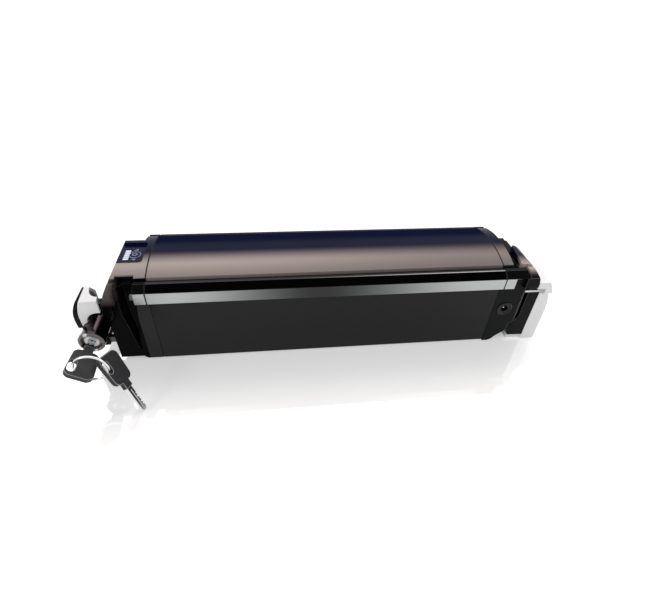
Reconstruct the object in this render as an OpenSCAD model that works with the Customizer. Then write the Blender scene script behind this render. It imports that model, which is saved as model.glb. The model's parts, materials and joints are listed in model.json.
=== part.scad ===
// E-bike downtube battery with its lock mount, its plug-in mount and two keys.
// +X runs along the battery to its plug end, +Y to the far side and +Z up.
// The origin is the centre of the case's bottom face. Sizes are millimetres.

/* [Cells] */
// Diameter of a cell
cell_d = 18.4; // [18.2:0.1:21.2]
// Length of a cell
cell_l = 65; // [60:0.5:70]
// Gap between neighbouring cells
cell_gap = 0.5; // [0.4:0.1:1.5]
// Cells above each other
rows = 4; // [3:1:5]
// Cells along the case
columns = 13; // [8:1:16]
// Space between the cell ends and the case wall
end_room = 3.5; // [3.5:0.1:6]
// Thickness of the foam above and below the cells
pad_t = 0.8; // [0.8:0.1:2]
// Free length of the case at its upper end
upper_room = 14.3; // [14:0.1:30]
// Free length of the case at its lower end, for the electronics
lower_room = 40; // [39:0.5:60]

/* [Case and cover] */
// Wall of the extruded case
wall = 2.2; // [1.8:0.1:2.6]
// Rounding of the bottom corners
foot_r = 3; // [2:0.1:4]
// How far the lip stands out on each side
lip_out = 5.9; // [5.5:0.1:9]
// Height of the lip's upright face
lip_h = 10.7; // [9:0.1:13]
// Height of the bevel above the lip
bevel_h = 4.8; // [3:0.1:6]
// Depth of the bevel above the lip
bevel_in = 6.6; // [5:0.1:7]
// Width of the flat ledge beside the cover
ledge_w = 2.9; // [2:0.1:4]
// Width of the groove between ledge and cover
groove_w = 2.8; // [2:0.1:4]
// Depth of that groove
groove_h = 2.1; // [1.2:0.1:2.5]
// Height of the cover's upright edge above the deck
cover_edge = 3.9; // [3.5:0.1:5]
// Rise of the cover's crown
crown_rise = 5.1; // [4.9:0.1:9]
// Wall of the cover
cover_t = 2; // [1.6:0.1:2.2]

/* [Upper end cap] */
// Length of the upper end cap
cap_u_l = 36; // [34:0.5:46]
// How far the end face is drawn in at the crown
nose_in = 11.2; // [8:0.1:14]
// Height over which the end face curves in
nose_h = 35.6; // [24:0.1:38]
// Length of the cap's ring next to the case
ring_l = 9.6; // [9:0.1:10.5]
// Length of the finger recess at its top
grip_l = 14.8; // [14:0.1:16.5]
// Depth of the finger recess from the case side
grip_d = 7; // [4:0.1:9]
// Thickness of the gaskets
gasket_t = 1; // [0.6:0.1:1.5]
// Length of the display window
window_l = 21; // [20:0.1:23]
// Width of the display window
window_w = 31; // [30:0.1:36]
// Diameter of the power button
button_d = 7.6; // [7:0.1:8]
// Travel of the power button
button_travel = 0.6; // [0.4:0.1:0.8]

/* [Lower end cap] */
// Length of the lower end cap
cap_l_l = 29.3; // [28:0.1:36]
// Outer diameter of the charging port
port_d = 14.6; // [13:0.1:16]
// Bore of the charging port
port_bore = 6.4; // [5.5:0.1:7]
// Height of the charging port's axis
port_z = 40.8; // [36:0.1:46]
// Distance of the port's axis from the seam
port_x = 11.8; // [10:0.1:13]
// Width of the discharge plug
plug_w = 46; // [42:0.5:52]
// Height of the discharge plug
plug_h = 15; // [13:0.5:18]

/* [Lower mount] */
// Length of the black mount base over the cap's end
base_l = 17.6; // [16:0.1:22]
// Length of the bracket behind the mount base
bracket_l = 13.2; // [12:0.1:18]
// Wall of the bracket
bracket_t = 3; // [2.4:0.1:3.6]
// Diameter of the bracket's mounting holes
mount_hole_d = 5.4; // [4.4:0.1:6.4]
// Distance between the bracket's mounting holes
mount_pitch = 50; // [44:0.5:54]
// Diameter of the cable outlet
outlet_d = 12; // [10:0.5:14]

/* [Lock mount] */
// Gap between the lock barrel and the cap's end face
lock_gap = 0.5; // [0.3:0.1:1.5]
// How far the lock stands out in front of the lip
lock_reach = 14.4; // [13:0.1:16]
// Height of the lock's axis
lock_z = 42; // [40:0.1:44]
// Diameter of the lock barrel
barrel_d = 19; // [17:0.1:19.6]
// Diameter of the lock's collar
collar_d = 20.4; // [19.8:0.1:22]
// Diameter of the turning lock core
core_d = 11.2; // [10:0.1:12]
// Radius of the cam pin's path
cam_r = 4.4; // [4:0.1:4.6]
// Diameter of the cam pin
cam_pin_d = 2.8; // [2.4:0.1:3]
// Width of the latch bolt's tongue
bolt_w = 4; // [3:0.1:4.4]
// Height of the latch bolt's tongue
bolt_h = 6; // [5:0.1:6.5]
// Distance between the lock mount's fixing holes
lock_pitch = 24; // [20:0.5:28]

/* [Keys] */
// Width of a key's head
head_w = 21; // [20:0.1:23]
// Length of a key's head
head_l = 26; // [25:0.1:28]
// Thickness of a key's head
head_t = 4; // [3.4:0.1:4.4]
// Width of a key's blade
blade_w = 5.2; // [4.6:0.1:5.6]
// Thickness of a key's blade
blade_t = 2; // [1.6:0.1:2.2]
// Length of a key from the head to its tip
shank_l = 28.1; // [26:0.1:28.5]
// Mean diameter of the key ring
ring_d = 25; // [24:0.1:27]
// Thickness of the key ring's wire
ring_wire = 2; // [1.6:0.1:2.2]
// Turn of the key in the lock
key_turn = 33; // [30:1:36]

/* [Hidden] */

// Common clearances and the overrun of cuts
gap = 0.3;
run = 0.05;
over = 1;

// The case is built around its cells
pitch = cell_d + cell_gap;
stack_l = columns * pitch;
stack_h = rows * pitch;
tub_w = cell_l + 2 * (end_room + wall);
case_l = stack_l + upper_room + lower_room;
deck_low = wall + 2 * pad_t + stack_h;
deck_z = deck_low + wall;
ledge_z = deck_z + groove_h;
lip_top = ledge_z - bevel_h;
lip_low = lip_top - lip_h;
pack_h = deck_z + cover_edge + crown_rise;
side_y = tub_w / 2;
lip_y = side_y + lip_out;
ledge_y = lip_y - bevel_in;
groove_y = ledge_y - ledge_w;
cover_y = groove_y - groove_w;
crown_r = (cover_y * cover_y + crown_rise * crown_rise) / (2 * crown_rise);
upper_x = -case_l / 2;
lower_x = case_l / 2;
lip_drop = 2;
round_fn = 96;
small_fn = 32;

// Screw ports along the lip and screws through the floor
lip_screw_r = 1.5;
lip_head_r = 2.75;
lip_head_h = 3;
lip_screw_in = 3.5;
lip_screw_l = 12;
lip_port_y = lip_y - lip_screw_in;
lip_port_z = (lip_low + lip_top) / 2;
floor_screw_y = 22;
spigot_l = 12;
spigot_t = 3;
floor_screw_in = spigot_l / 2;
boss_h = 9;
boss_r = 4;
m3_r = 1.5;
m3_head_r = 2.9;
m4_r = 2;
m4_head_r = 3.5;
m4_head_h = 2.6;

// Upper cap
end_u = upper_x - cap_u_l;
cap_raise = 4.7;
raise_run = 5;
raise_in = 12;
ring_x = upper_x - ring_l;
grip_x = ring_x - grip_l;
grip_shelf = 1.6;
grip_shelf_z = deck_z - grip_shelf;
grip_back = 3.2;
grip_back_y = cover_y - grip_back;
grip_foot_in = 7.4;
grip_foot_z = 9;
grip_low_in = 6.6;
grip_slope = 5;
rear_step_y = 20.5;
rear_step_share = 1.6;
rear_step_z = lip_low + rear_step_share * spigot_t;
cap_cavity_in = 14;
flange_drop = 8;
gusset_h = 12;
gusset_l = 8;
window_t = 1.6;
window_drop = 3.8;
window_z = pack_h - window_drop;
window_in = 5.4;
window_x = upper_x - window_in;
window_r = 3;
board_t = 1.2;
board_drop = 6.4;
board_z = window_z - window_t - board_drop;
well_margin = 4;
well_l = window_l - 1.5 * well_margin;
well_w = window_w - 2 * well_margin;
well_x = window_x - window_l / 2 - over;
button_in = 9;
button_x = window_x - button_in;
button_y = gap;
button_t = 2.6;
button_flange = 1;
light_in = 15.4;
light_x = window_x - light_in;
light_l = 4.2;
light_w = 2.1;
light_pitch = 3;
light_count = 5;
lamp_h = 2;

// Lower cap
end_l = lower_x + cap_l_l;
cap_lean = 3.8;
cap_bevel_l = 4;
cap_bevel_w = 3.2;
lip_end_l = 10;
lip_end_x = lower_x + lip_end_l;
beak_l = 22.6;
beak_x = lower_x + beak_l;
beak_slope = 6;
beak_run = 2;
beak_tip = 0.5;
core_top = deck_low;
core_slope_y = 22;
plug_z = 44;
socket_l = 16;
socket_clear = 0.5;
blade_count = 6;
blade_pitch = 7;
contact_w = 4.6;
contact_h = 1.2;
contact_l = 15;
wire_lane = 3.2;
room_y = plug_w / 2 + wire_lane;
port_wall = 5;
port_depth = 11;
port_back_t = 2;
port_thread_t = 1.7;
nut_t = 2.6;
nut_r = 7.2;

// Outline of the cap's underside, as shares of the cap's length and of the plug's height
core_foot_shares = [[0.205, 0], [0.324, 0.036], [0.427, 0.123], [0.563, 0.195], [0.683, 0.264]];
// Outline of its end below the plug, as shares of the heel's depth and height
heel_in = 8.5;
heel_z = 31;
heel_shares = [[1, 0.442], [1, 0.694], [0.647, 0.79], [0.176, 0.871], [0, 1]];
function core_foot(t) = [for (s = core_foot_shares) [lower_x + s[0] * cap_l_l, s[1] * plug_z - t]];
function core_heel(t) = [for (s = heel_shares) [end_l - s[0] * heel_in + t, s[1] * heel_z - t]];

// Ears of the two mounts stand level with the lip
ear_drop = 5.5;
ear_h = 11.7;
ear_z = lip_top - ear_drop;
ear_low = ear_z - ear_h;

// Lower mount: block behind the cap's end and hood over its near corner
base_foot = 6;
base_floor = 3;
base_wall = 4;
base_hollow_l = 7;
base_hollow_z = 56;
base_extra = 6.4;
base_end = end_l + base_l - base_extra;
base_top = lip_low - lip_drop;
toe_l = 4;
hood_from = 17.5;
shank_in = 8;
hood_x = lower_x + hood_from;
hood_lip_l = 3;
hood_lip_x = hood_x + hood_lip_l;
hood_over = 3.4;
hood_end = end_l + hood_over;
hood_bend_z = 70.8;
hood_in = 14.4;
hood_y = 8;
hood_t = 3;
bracket_x = base_end + gap;
bracket_end = bracket_x + bracket_l;
bracket_floor = 4.8;
bracket_lift = 0.6;
bracket_bend_z = 32;
bracket_bend_h = 48;
bracket_lean = 14.8;
bracket_ridge_y = 17;
bracket_ridge_run = 6;
bracket_flare = 4;
saddle_z = 58;
bolt_row_z = 30;
outlet_z = 20;
base_screw_in = 4;
base_screw_y = 20;
base_screw_l = 6.4;
base_screw_seat = 3;

// Lock mount
mount_gap = 1.5;
mount_x = end_u - mount_gap;
lock_x = end_u - barrel_d / 2 - lock_gap;
barrel_front = lip_y + lock_reach;
collar_l = 5.6;
barrel_back = 22;
clip_in = 2;
clip_t = 1.2;
clip_depth = 0.9;
rim_side = 3.6;
rim_t = 3.8;
rim_x = lock_x - barrel_d / 2 - rim_side;
rim_bend_z = 52;
rim_lean = 8.6;
shell_lean = 6;
shell_t = 2.4;
shell_x = rim_x + rim_t + gap;
housing_low = 45;
housing_in = 2;
housing_ridge_y = 30;
ridge_up = 4.1;
housing_ridge_z = ear_z + ridge_up;
housing_back = 22;
housing_back_z = 68;
notch_y = 30;
notch_r = 11;
notch_from = 4.3;
notch_x = lock_x - notch_from;
step_r = 7.6;
step_y = 32;
block_in = 5.5;
block_x1 = end_u - block_in;
block_front = 37;
block_top_front = 31;
block_back = 12;
block_low = 26;
block_mid = 45;
block_top = 54.8;
chamber_top = lock_z + core_d / 2 + 4 * gap;
bolt_z = 25;
bolt_y = 34.5;
guide_t = 1.6;
cam_shift = cam_r * sin(45);
bolt_travel = 2 * cam_shift;
bolt_in = 5.9;
bolt_tip = end_u + bolt_in;
fork_wall = 2.1;
fork_y = 18.4;
fork_t = 3.2;
arm_h = 3;
lock_plate_t = 3.5;
lock_plate_z0 = 14;
lock_plate_z1 = 31;
lock_plate_y = 28;
lock_hole_y = -2;
shell_screw_z = 57;
shell_screw_pitch = 5.3;
shell_screw_l = 8;
shell_head_r = 2.3;
shell_head_h = 1.8;
shell_head_in = 2.6;
post_top = 65;

// Keys
key_reach = 10;
slot_w = 5.8;
slot_side = 6.5;
slot_near = 2;
slot_far = 9.5;
ring_play = 1.4;
slot_cross = slot_side - slot_w / 2 + ring_wire / 2 + ring_play;
head_y = barrel_front + key_reach + head_l / 2;
ring_rise = 2.5;
ring_plane = head_y + ring_rise;
ring_turn = 160;
spare_turn = -20;
spare_pitch = -123.9;
spare_roll = 17.5;
spare_yaw = 73.6;

// Extrudes an outline of (y, z) points from one x to another
module along_x(x0, x1) {
  translate([x0, 0, 0])
    rotate([90, 0, 90])
      linear_extrude(x1 - x0) children();
}

// Extrudes an outline of (x, z) points from one y to another
module along_y(y0, y1) {
  translate([0, y1, 0])
    rotate([90, 0, 0])
      linear_extrude(y1 - y0) children();
}

// A box from one corner to the opposite one
module span(a, b) {
  translate(a) cube(b - a);
}

// A round bar along x, y or z
module bar_x(x0, x1, y, z, r) {
  translate([x0, y, z]) rotate([0, 90, 0]) cylinder(h = x1 - x0, r = r, $fn = small_fn);
}

module bar_y(y0, y1, x, z, r) {
  translate([x, y0, z]) rotate([-90, 0, 0]) cylinder(h = y1 - y0, r = r, $fn = small_fn);
}

module bar_z(z0, z1, x, y, r) {
  translate([x, y, z0]) cylinder(h = z1 - z0, r = r, $fn = small_fn);
}

// Both mirrored copies of a piece, on the near and the far side
module both_sides() {
  children();
  mirror([0, 1, 0]) children();
}

// Points on an arc that starts upright at (x, z) and leans by dx over dz
function nose(x, z, dx, dz) =
  let (r = (dz * dz + dx * dx) / (2 * abs(dx)), a = asin(dz / r), n = 10)
  [for (i = [0 : n]) [x + sign(dx) * r * (1 - cos(a * i / n)), z + r * sin(a * i / n)]];

// Half of the tub and lip outline, from the floor up to the ledge, less an inset
function tub_side(t) = concat(
  [for (a = [0 : 30 : 90]) [side_y - foot_r + (foot_r - t) * sin(a), foot_r - (foot_r - t) * cos(a)]],
  [
    [side_y - t, lip_low - lip_drop],
    [lip_y - t, lip_low + t],
    [lip_y - t, lip_top],
    [ledge_y - t, ledge_z - t]
  ]
);

function mirrored(p) = [for (i = [len(p) - 1 : -1 : 0]) [-p[i][0], p[i][1]]];

// Tub, lip and ledge with the groove floor at deck height
module tub_outline(t = 0) {
  half = concat(tub_side(t), [[groove_y, ledge_z - t], [groove_y, deck_z]]);
  polygon(concat(half, mirrored(half)));
}

// Crown above the deck, as wide as the cover
module crown_outline(t = 0) {
  intersection() {
    translate([0, pack_h - crown_r]) circle(r = crown_r - t, $fn = round_fn);
    translate([-cover_y + t, deck_z - over]) square([2 * (cover_y - t), pack_h]);
  }
}

// The whole section of the pack
module pack_outline(t = 0) {
  tub_outline(t);
  crown_outline(t);
}

// Cavity of the case, less a clearance
module cavity_outline(t = 0) {
  y = side_y - wall - t;
  shoulder = 3;
  polygon([
    [-y, wall + t], [y, wall + t], [y, deck_low - t - shoulder],
    [y - shoulder, deck_low - t], [-y + shoulder, deck_low - t], [-y, deck_low - t - shoulder]
  ]);
}

// Rail on the deck that the cover hooks under
rail_y = cover_y - 9.8;
rail_w = 4;
rail_t = 1.4;
rail_h = 3;
module rail_outline() {
  translate([rail_y, deck_z - over]) square([rail_t, rail_h + over]);
  translate([rail_y, deck_z + rail_h - rail_t]) square([rail_w, rail_t]);
}

// Places of the floor screws and the lip screws at one end
module at_floor_screws(x) {
  for (s = [-1, 1]) translate([x, s * floor_screw_y, 0]) children();
}

module case_body() {
  color("#2b2b2d") difference() {
    union() {
      along_x(upper_x, lower_x) tub_outline();
      both_sides() along_x(upper_x, lower_x) rail_outline();
    }
    along_x(upper_x - over, lower_x + over) cavity_outline();
    both_sides() bar_x(upper_x - over, lower_x + over, -lip_port_y, lip_port_z, lip_screw_r);
    for (x = [upper_x + floor_screw_in, lower_x - floor_screw_in]) at_floor_screws(x) {
      translate([0, 0, -over]) cylinder(h = wall + 2 * over, r = m3_r + gap, $fn = small_fn);
      cylinder(h = wall, r1 = m3_head_r + gap, r2 = m3_r + gap, $fn = small_fn);
    }
  }
}

// Crowned cover with hooks under the deck rails
module top_cover() {
  hook_y = rail_y + rail_w + gap;
  hook_z = deck_z + gap;
  hook_t = rail_h - rail_t - 2 * gap;
  leg_t = 1.6;
  color("#26262a") difference() {
    along_x(upper_x, lower_x) difference() {
      crown_outline();
      difference() {
        translate([0, -cover_t]) crown_outline();
        translate([cover_y - cover_t, 0]) square([cover_t + over, pack_h]);
        translate([-cover_y - over, 0]) square([cover_t + over, pack_h]);
        for (s = [0, 1]) mirror([s, 0]) {
          translate([hook_y, hook_z]) square([leg_t, pack_h - hook_z]);
          translate([rail_y + rail_t + gap, hook_z]) square([rail_w - rail_t, hook_t]);
        }
      }
    }
    span([upper_x - over, -lip_y, deck_z - 2 * over], [lower_x + over, lip_y, deck_z]);
  }
}

// Spigot that fits inside the end of the case, pointing along +x or -x
module spigot(x0, x1) {
  along_x(x0, x1) difference() {
    cavity_outline(gap);
    offset_in = spigot_t + gap;
    cavity_outline(offset_in);
  }
}

// Boss for the floor screws inside a spigot
module floor_bosses(x) {
  at_floor_screws(x) translate([0, 0, wall + gap]) cylinder(h = boss_h, r = boss_r, $fn = small_fn);
}

module floor_screw_holes(x) {
  at_floor_screws(x) translate([0, 0, wall - over])
    cylinder(h = boss_h, r = m3_r - gap, $fn = small_fn);
}

// Outline of the upper cap seen from the side
module upper_cap_side() {
  x1 = upper_x - gasket_t;
  polygon(concat(
    [[x1, 0], [upper_x - raise_in, 0], [upper_x - raise_in - raise_run, cap_raise], [end_u, cap_raise]],
    nose(end_u, pack_h - nose_h, nose_in, nose_h),
    [[x1, pack_h]]
  ));
}

// Finger recess on the near side: a sloping scoop below a shelf
module finger_recess() {
  foot_x = ring_x - grip_foot_in;
  low_x = grip_x + grip_low_in;
  deep_x = grip_x + grip_slope;
  deep_y = side_y - grip_d;
  deep_foot_z = 3 * grip_foot_z;
  far = lip_y + over;
  hull() {
    along_y(-far, -side_y)
      polygon([[grip_x, pack_h], [ring_x, pack_h], [ring_x - gap / 2, lip_low], [foot_x, grip_foot_z],
               [low_x, grip_foot_z], [grip_x, pack_h - nose_h]]);
    along_y(-deep_y - over, -deep_y)
      polygon([[deep_x, pack_h], [ring_x - gap, pack_h], [ring_x - gap, lip_low],
               [foot_x + gap, deep_foot_z], [foot_x - gap, deep_foot_z], [deep_x, pack_h - nose_h]]);
  }
  span([grip_x, -far, grip_shelf_z], [ring_x, -grip_back_y, pack_h + over]);
}

// Wedge under the flange's lip, at the end of the cap
module flange_gusset() {
  lip_z = lip_low - flange_drop;
  intersection() {
    along_x(end_u, end_u + gusset_l) polygon([
      [-side_y + over, lip_z], [-side_y, lip_z - gusset_h], [-lip_y, lip_z],
      [-lip_y, lip_low + over], [-side_y + over, lip_low + over]
    ]);
    along_y(-lip_y - over, 0) polygon([
      [end_u, lip_low + over], [end_u, lip_z], [end_u + gusset_l / 3, lip_z - gusset_h],
      [end_u + gusset_l, lip_z], [end_u + gusset_l, lip_low + over]
    ]);
    along_y(-lip_y - over, 0) upper_cap_side();
  }
}

module window_plate_outline(t) {
  l = window_l + nose_in;
  translate([window_x - l + t, -window_w / 2 + t]) union() {
    square([l - 2 * t - window_r, window_w - 2 * t]);
    translate([0, window_r]) square([l - 2 * t, window_w - 2 * t - 2 * window_r]);
    for (y = [window_r, window_w - 2 * t - window_r])
      translate([l - 2 * t - window_r, y]) circle(r = window_r, $fn = small_fn);
  }
}

// Pocket that takes the latch bolt, in the cap's end face
module strike_pocket() {
  span([end_u - over, -bolt_y - bolt_w / 2 - gap, bolt_z - bolt_h / 2 - gap],
       [bolt_tip + 3 * gap, -bolt_y + bolt_w / 2 + gap, bolt_z + bolt_h / 2 + gap]);
}

module upper_end_cap() {
  x1 = upper_x - gasket_t;
  seat_z = window_z - window_t;
  cavity_y = rear_step_y - spigot_t;
  color("#161618") difference() {
    union() {
      intersection() {
        along_x(end_u, x1) pack_outline();
        along_y(-lip_y, lip_y) upper_cap_side();
      }
      both_sides() flange_gusset();
      spigot(x1, upper_x + spigot_l);
      floor_bosses(upper_x + floor_screw_in);
    }
    both_sides() finger_recess();
    // the far side steps down beside the window
    span([end_u - over, rear_step_y, rear_step_z], [ring_x, lip_y + over, pack_h + over]);
    strike_pocket();
    translate([0, 0, seat_z]) linear_extrude(pack_h) window_plate_outline(0);
    // well for the display board, and below it room for its lead
    span([well_x - well_l / 2, -well_w / 2, board_z - well_margin], [well_x + well_l / 2, well_w / 2, pack_h]);
    span([end_u + cap_cavity_in, -cavity_y, wall + spigot_t],
         [x1 + over, cavity_y, board_z - well_margin - board_t]);
    span([well_x, -spigot_t, board_z - 2 * spigot_t], [well_x + spigot_t, spigot_t, board_z]);
    floor_screw_holes(upper_x + floor_screw_in);
    both_sides() {
      bar_x(ring_x - over, x1 + over, -lip_port_y, lip_port_z, lip_screw_r + gap);
      bar_x(end_u - over, ring_x, -lip_port_y, lip_port_z, lip_head_r + gap);
    }
  }
}

// Side outline of the lower cap's core, grown by t for the clearance around it
module lower_core_side(t = 0) {
  top = core_top + t;
  polygon(concat(
    [[lower_x + gasket_t, -t]], core_foot(t), core_heel(t),
    [[end_l - cap_lean + t, top], [lower_x + gasket_t, top]]
  ));
}

// Ledge that runs on beyond the lip's end and slopes off, on the near side
module beak(l) {
  x0 = lower_x + gasket_t;
  intersection() {
    along_x(x0, lower_x + l) difference() {
      tub_outline();
      translate([-cover_y, 0]) square([cover_y + lip_y, pack_h]);
    }
    along_y(-lip_y, 0) polygon([
      [x0, lip_top], [lip_end_x + beak_run, lip_top - gap], [lower_x + l, lip_top + beak_tip],
      [lower_x + l - beak_slope, pack_h], [x0, pack_h]
    ]);
  }
}

module lower_end_cap() {
  x0 = lower_x + gasket_t;
  y_in = side_y - cap_bevel_w;
  plug_low = plug_z - plug_h / 2;
  color("#1b1b1d") difference() {
    union() {
      intersection() {
        along_x(x0, lip_end_x) pack_outline();
        along_y(-lip_y, lip_y) polygon(concat([[x0, 0]], core_foot(0), [[end_l, pack_h], [x0, pack_h]]));
      }
      // core with its upright end edges bevelled and its far top edge sloped
      intersection() {
        along_y(-side_y, side_y) lower_core_side();
        linear_extrude(pack_h) polygon([
          [x0, -side_y], [end_l - cap_bevel_l, -side_y], [end_l, -y_in], [end_l, y_in],
          [end_l - cap_bevel_l, side_y], [x0, side_y]
        ]);
        along_x(x0, end_l) polygon([
          [-side_y, 0], [side_y, 0], [side_y, lip_low], [core_slope_y, core_top], [-side_y, core_top]
        ]);
      }
      beak(beak_l);
      mirror([0, 1, 0]) beak(lip_end_l + beak_run);
      spigot(lower_x - spigot_l, x0);
      floor_bosses(lower_x - floor_screw_in);
    }
    // room inside for the charging port and the wiring
    span([lower_x - over, -room_y, wall + spigot_t],
         [lower_x + socket_l - spigot_t, room_y, core_top - 2 * spigot_t]);
    // opening for the discharge plug
    span([lower_x, -plug_w / 2, plug_low], [end_l + over, plug_w / 2, plug_low + plug_h]);
    // bore of the charging port, with the pocket of its nut
    bar_y(-side_y - over, -room_y + over, lower_x + port_x, port_z, port_bore / 2 + port_thread_t + gap);
    bar_y(-side_y + port_wall, -room_y + over, lower_x + port_x, port_z, nut_r + 2 * gap);
    floor_screw_holes(lower_x - floor_screw_in);
    both_sides() {
      bar_x(x0 - over, lip_end_x + over, -lip_port_y, lip_port_z, lip_screw_r + gap);
      bar_x(lip_end_x - lip_head_h - gap, end_l + over, -lip_port_y, lip_port_z, lip_head_r + gap);
    }
  }
}

// Rubber frame between the case and an end cap
module gasket(x0) {
  inset = 0.5;
  along_x(x0, x0 + gasket_t) difference() {
    pack_outline(inset);
    cavity_outline(-inset);
    for (s = [-1, 1]) translate([s * lip_port_y, lip_port_z]) circle(r = lip_screw_r + gap, $fn = small_fn);
  }
}

module upper_gasket() {
  color("#0c0c0c") gasket(upper_x - gasket_t);
}

module lower_gasket() {
  color("#0c0c0c") gasket(lower_x);
}

// Socket-head screw whose head sits at x, pointing along +x or -x
module socket_screw(x, dir, l, head_r = lip_head_r, head_h = lip_head_h) {
  translate([x, 0, 0]) rotate([0, dir * 90, 0]) difference() {
    union() {
      translate([0, 0, -head_h]) cylinder(h = head_h, r = head_r, $fn = small_fn);
      cylinder(h = l, r = lip_screw_r, $fn = small_fn);
    }
    translate([0, 0, -head_h - over]) cylinder(h = over + head_h / 2, r = head_r / 2, $fn = 6);
  }
}

// Countersunk screw through the floor
module floor_screw() {
  l = 9;
  hex_r = 1.2;
  difference() {
    union() {
      cylinder(h = wall - gap, r1 = m3_head_r, r2 = m3_r, $fn = small_fn);
      cylinder(h = l, r = m3_r - gap, $fn = small_fn);
    }
    translate([0, 0, -over]) cylinder(h = 2 * over, r = hex_r, $fn = 6);
  }
}

module upper_cap_screws() {
  color("#3a3a3c") {
    for (s = [-1, 1]) translate([0, s * lip_port_y, lip_port_z]) socket_screw(ring_x, 1, ring_l + lip_screw_l);
    at_floor_screws(upper_x + floor_screw_in) floor_screw();
  }
}

// The lower cap's lip screws sit flush in the lip's end
module lower_cap_screws() {
  seat_x = lip_end_x - lip_head_h - gap;
  color("#3a3a3c") {
    for (s = [-1, 1]) translate([0, s * lip_port_y, lip_port_z])
      socket_screw(seat_x, -1, seat_x - lower_x + lip_screw_l);
    at_floor_screws(lower_x - floor_screw_in) floor_screw();
  }
}

// Glossy window that follows the cap's end, with holes for button and lights
module display_window() {
  color("#1a1e33") difference() {
    intersection() {
      translate([0, 0, window_z - window_t]) linear_extrude(window_t) window_plate_outline(gap / 2);
      along_y(-window_w, window_w) upper_cap_side();
    }
    bar_z(window_z - window_t - over, window_z + over, button_x, button_y, button_d / 2 + 0.5 * gap);
    for (i = [0 : light_count - 1]) light_bar(i, gap / 2, window_z - window_t - over, window_z + over);
  }
}

// One bar of the charge level, across the window
module light_bar(i, t, z0, z1) {
  y = (i - (light_count - 1) / 2) * light_pitch;
  span([light_x - light_l / 2 - t, y - light_w / 2 - t, z0], [light_x + light_l / 2 + t, y + light_w / 2 + t, z1]);
}

module level_lights() {
  color("#d8dce8") for (i = [0 : light_count - 1]) light_bar(i, 0, board_z + board_t + lamp_h, window_z);
}

module power_button() {
  color("#23283f") {
    bar_z(window_z - button_t, window_z + gap, button_x, button_y, button_d / 2);
    bar_z(board_z + board_t + lamp_h + button_travel, window_z - window_t - button_travel - gap,
          button_x, button_y, button_d / 2 - button_flange);
  }
}

// Board under the window, with the button's switch and the lamps
module display_board() {
  chip = [3, 2.4, 1];
  switch_w = 4.4;
  color("#1f5a38") union() {
    span([well_x - well_l / 2 + gap, -well_w / 2 + gap, board_z],
         [well_x + well_l / 2 - gap, well_w / 2 - gap, board_z + board_t]);
    span([button_x - switch_w / 2, button_y - switch_w / 2, board_z],
         [button_x + switch_w / 2, button_y + switch_w / 2, board_z + board_t + lamp_h]);
    for (i = [0 : light_count - 1]) light_bar(i, 0, board_z, board_z + board_t + lamp_h);
    for (s = [-1, 1]) translate([well_x, s * well_w / 3, board_z + board_t]) cube(chip, center = true);
  }
}

// Charging port: flange on the cap's side, threaded barrel and bore
module charge_port() {
  lip_t = 1.2;
  lip_edge = 0.8;
  inner = port_bore / 2;
  rim = inner + port_thread_t;
  color("#101011") translate([lower_x + port_x, -side_y, port_z]) rotate([90, 0, 0]) {
    rotate_extrude($fn = round_fn) polygon([
      [inner, -port_depth], [rim, -port_depth], [rim, 0], [port_d / 2, 0], [port_d / 2, 0.6 * lip_t],
      [port_d / 2 - lip_edge, lip_t], [rim + lip_edge, lip_t], [rim, 0.4 * lip_t], [inner, 0.4 * lip_t]
    ]);
    translate([0, 0, -port_depth]) cylinder(h = port_back_t, r = inner + lip_edge, $fn = small_fn);
  }
}

// Nut that clamps the port to the cap's wall
module charge_port_nut() {
  color("#a8a8a4") translate([lower_x + port_x, -side_y + port_wall + nut_t, port_z]) rotate([90, 0, 0])
    difference() {
      cylinder(h = nut_t, r = nut_r, $fn = 6);
      translate([0, 0, -over])
        cylinder(h = nut_t + 2 * over, r = port_bore / 2 + port_thread_t + run, $fn = small_fn);
    }
}

module charge_pin() {
  pin_r = 1;
  pin_l = port_depth - port_back_t - over;
  color("#d6cfae") translate([lower_x + port_x, -side_y + port_depth - port_back_t, port_z]) rotate([90, 0, 0]) {
    cylinder(h = pin_l - pin_r, r = pin_r, $fn = small_fn);
    translate([0, 0, pin_l - pin_r]) sphere(r = pin_r, $fn = small_fn);
  }
}

// Centres of the plug's contacts across the battery
function blade_y(i) = (i - (blade_count - 1) / 2) * blade_pitch;

// Female plug with a slot for each blade
module discharge_socket() {
  x1 = lower_x + socket_l;
  y = plug_w / 2 - gap;
  z = plug_h / 2 - gap;
  slot_z = contact_h / 2 + 4 * gap;
  slot_y = contact_w / 2 + gap;
  color("#0f0f10") difference() {
    span([lower_x + gap, -y, plug_z - z], [x1, y, plug_z + z]);
    for (i = [0 : blade_count - 1]) span([x1 - contact_l, blade_y(i) - slot_y, plug_z - slot_z],
                                         [x1 + over, blade_y(i) + slot_y, plug_z + slot_z]);
  }
}

// A pair of spring leaves in each slot
module socket_contacts() {
  leaf_t = 0.5;
  x1 = lower_x + socket_l;
  y_w = contact_w / 2;
  z_in = contact_h / 2 + gap;
  color("#c79a4b") for (i = [0 : blade_count - 1]) for (s = [-1, 1])
    translate([0, blade_y(i), plug_z]) mirror([0, 0, s < 0 ? 1 : 0])
      span([x1 - contact_l + gap, -y_w, z_in], [x1 - over, y_w, z_in + leaf_t]);
}

// Every cell's place in the stack
module at_cells() {
  x0 = upper_x + upper_room + pitch / 2;
  z0 = wall + pad_t + pitch / 2;
  for (i = [0 : columns - 1]) for (j = [0 : rows - 1])
    translate([x0 + i * pitch, 0, z0 + j * pitch]) children();
}

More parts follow.
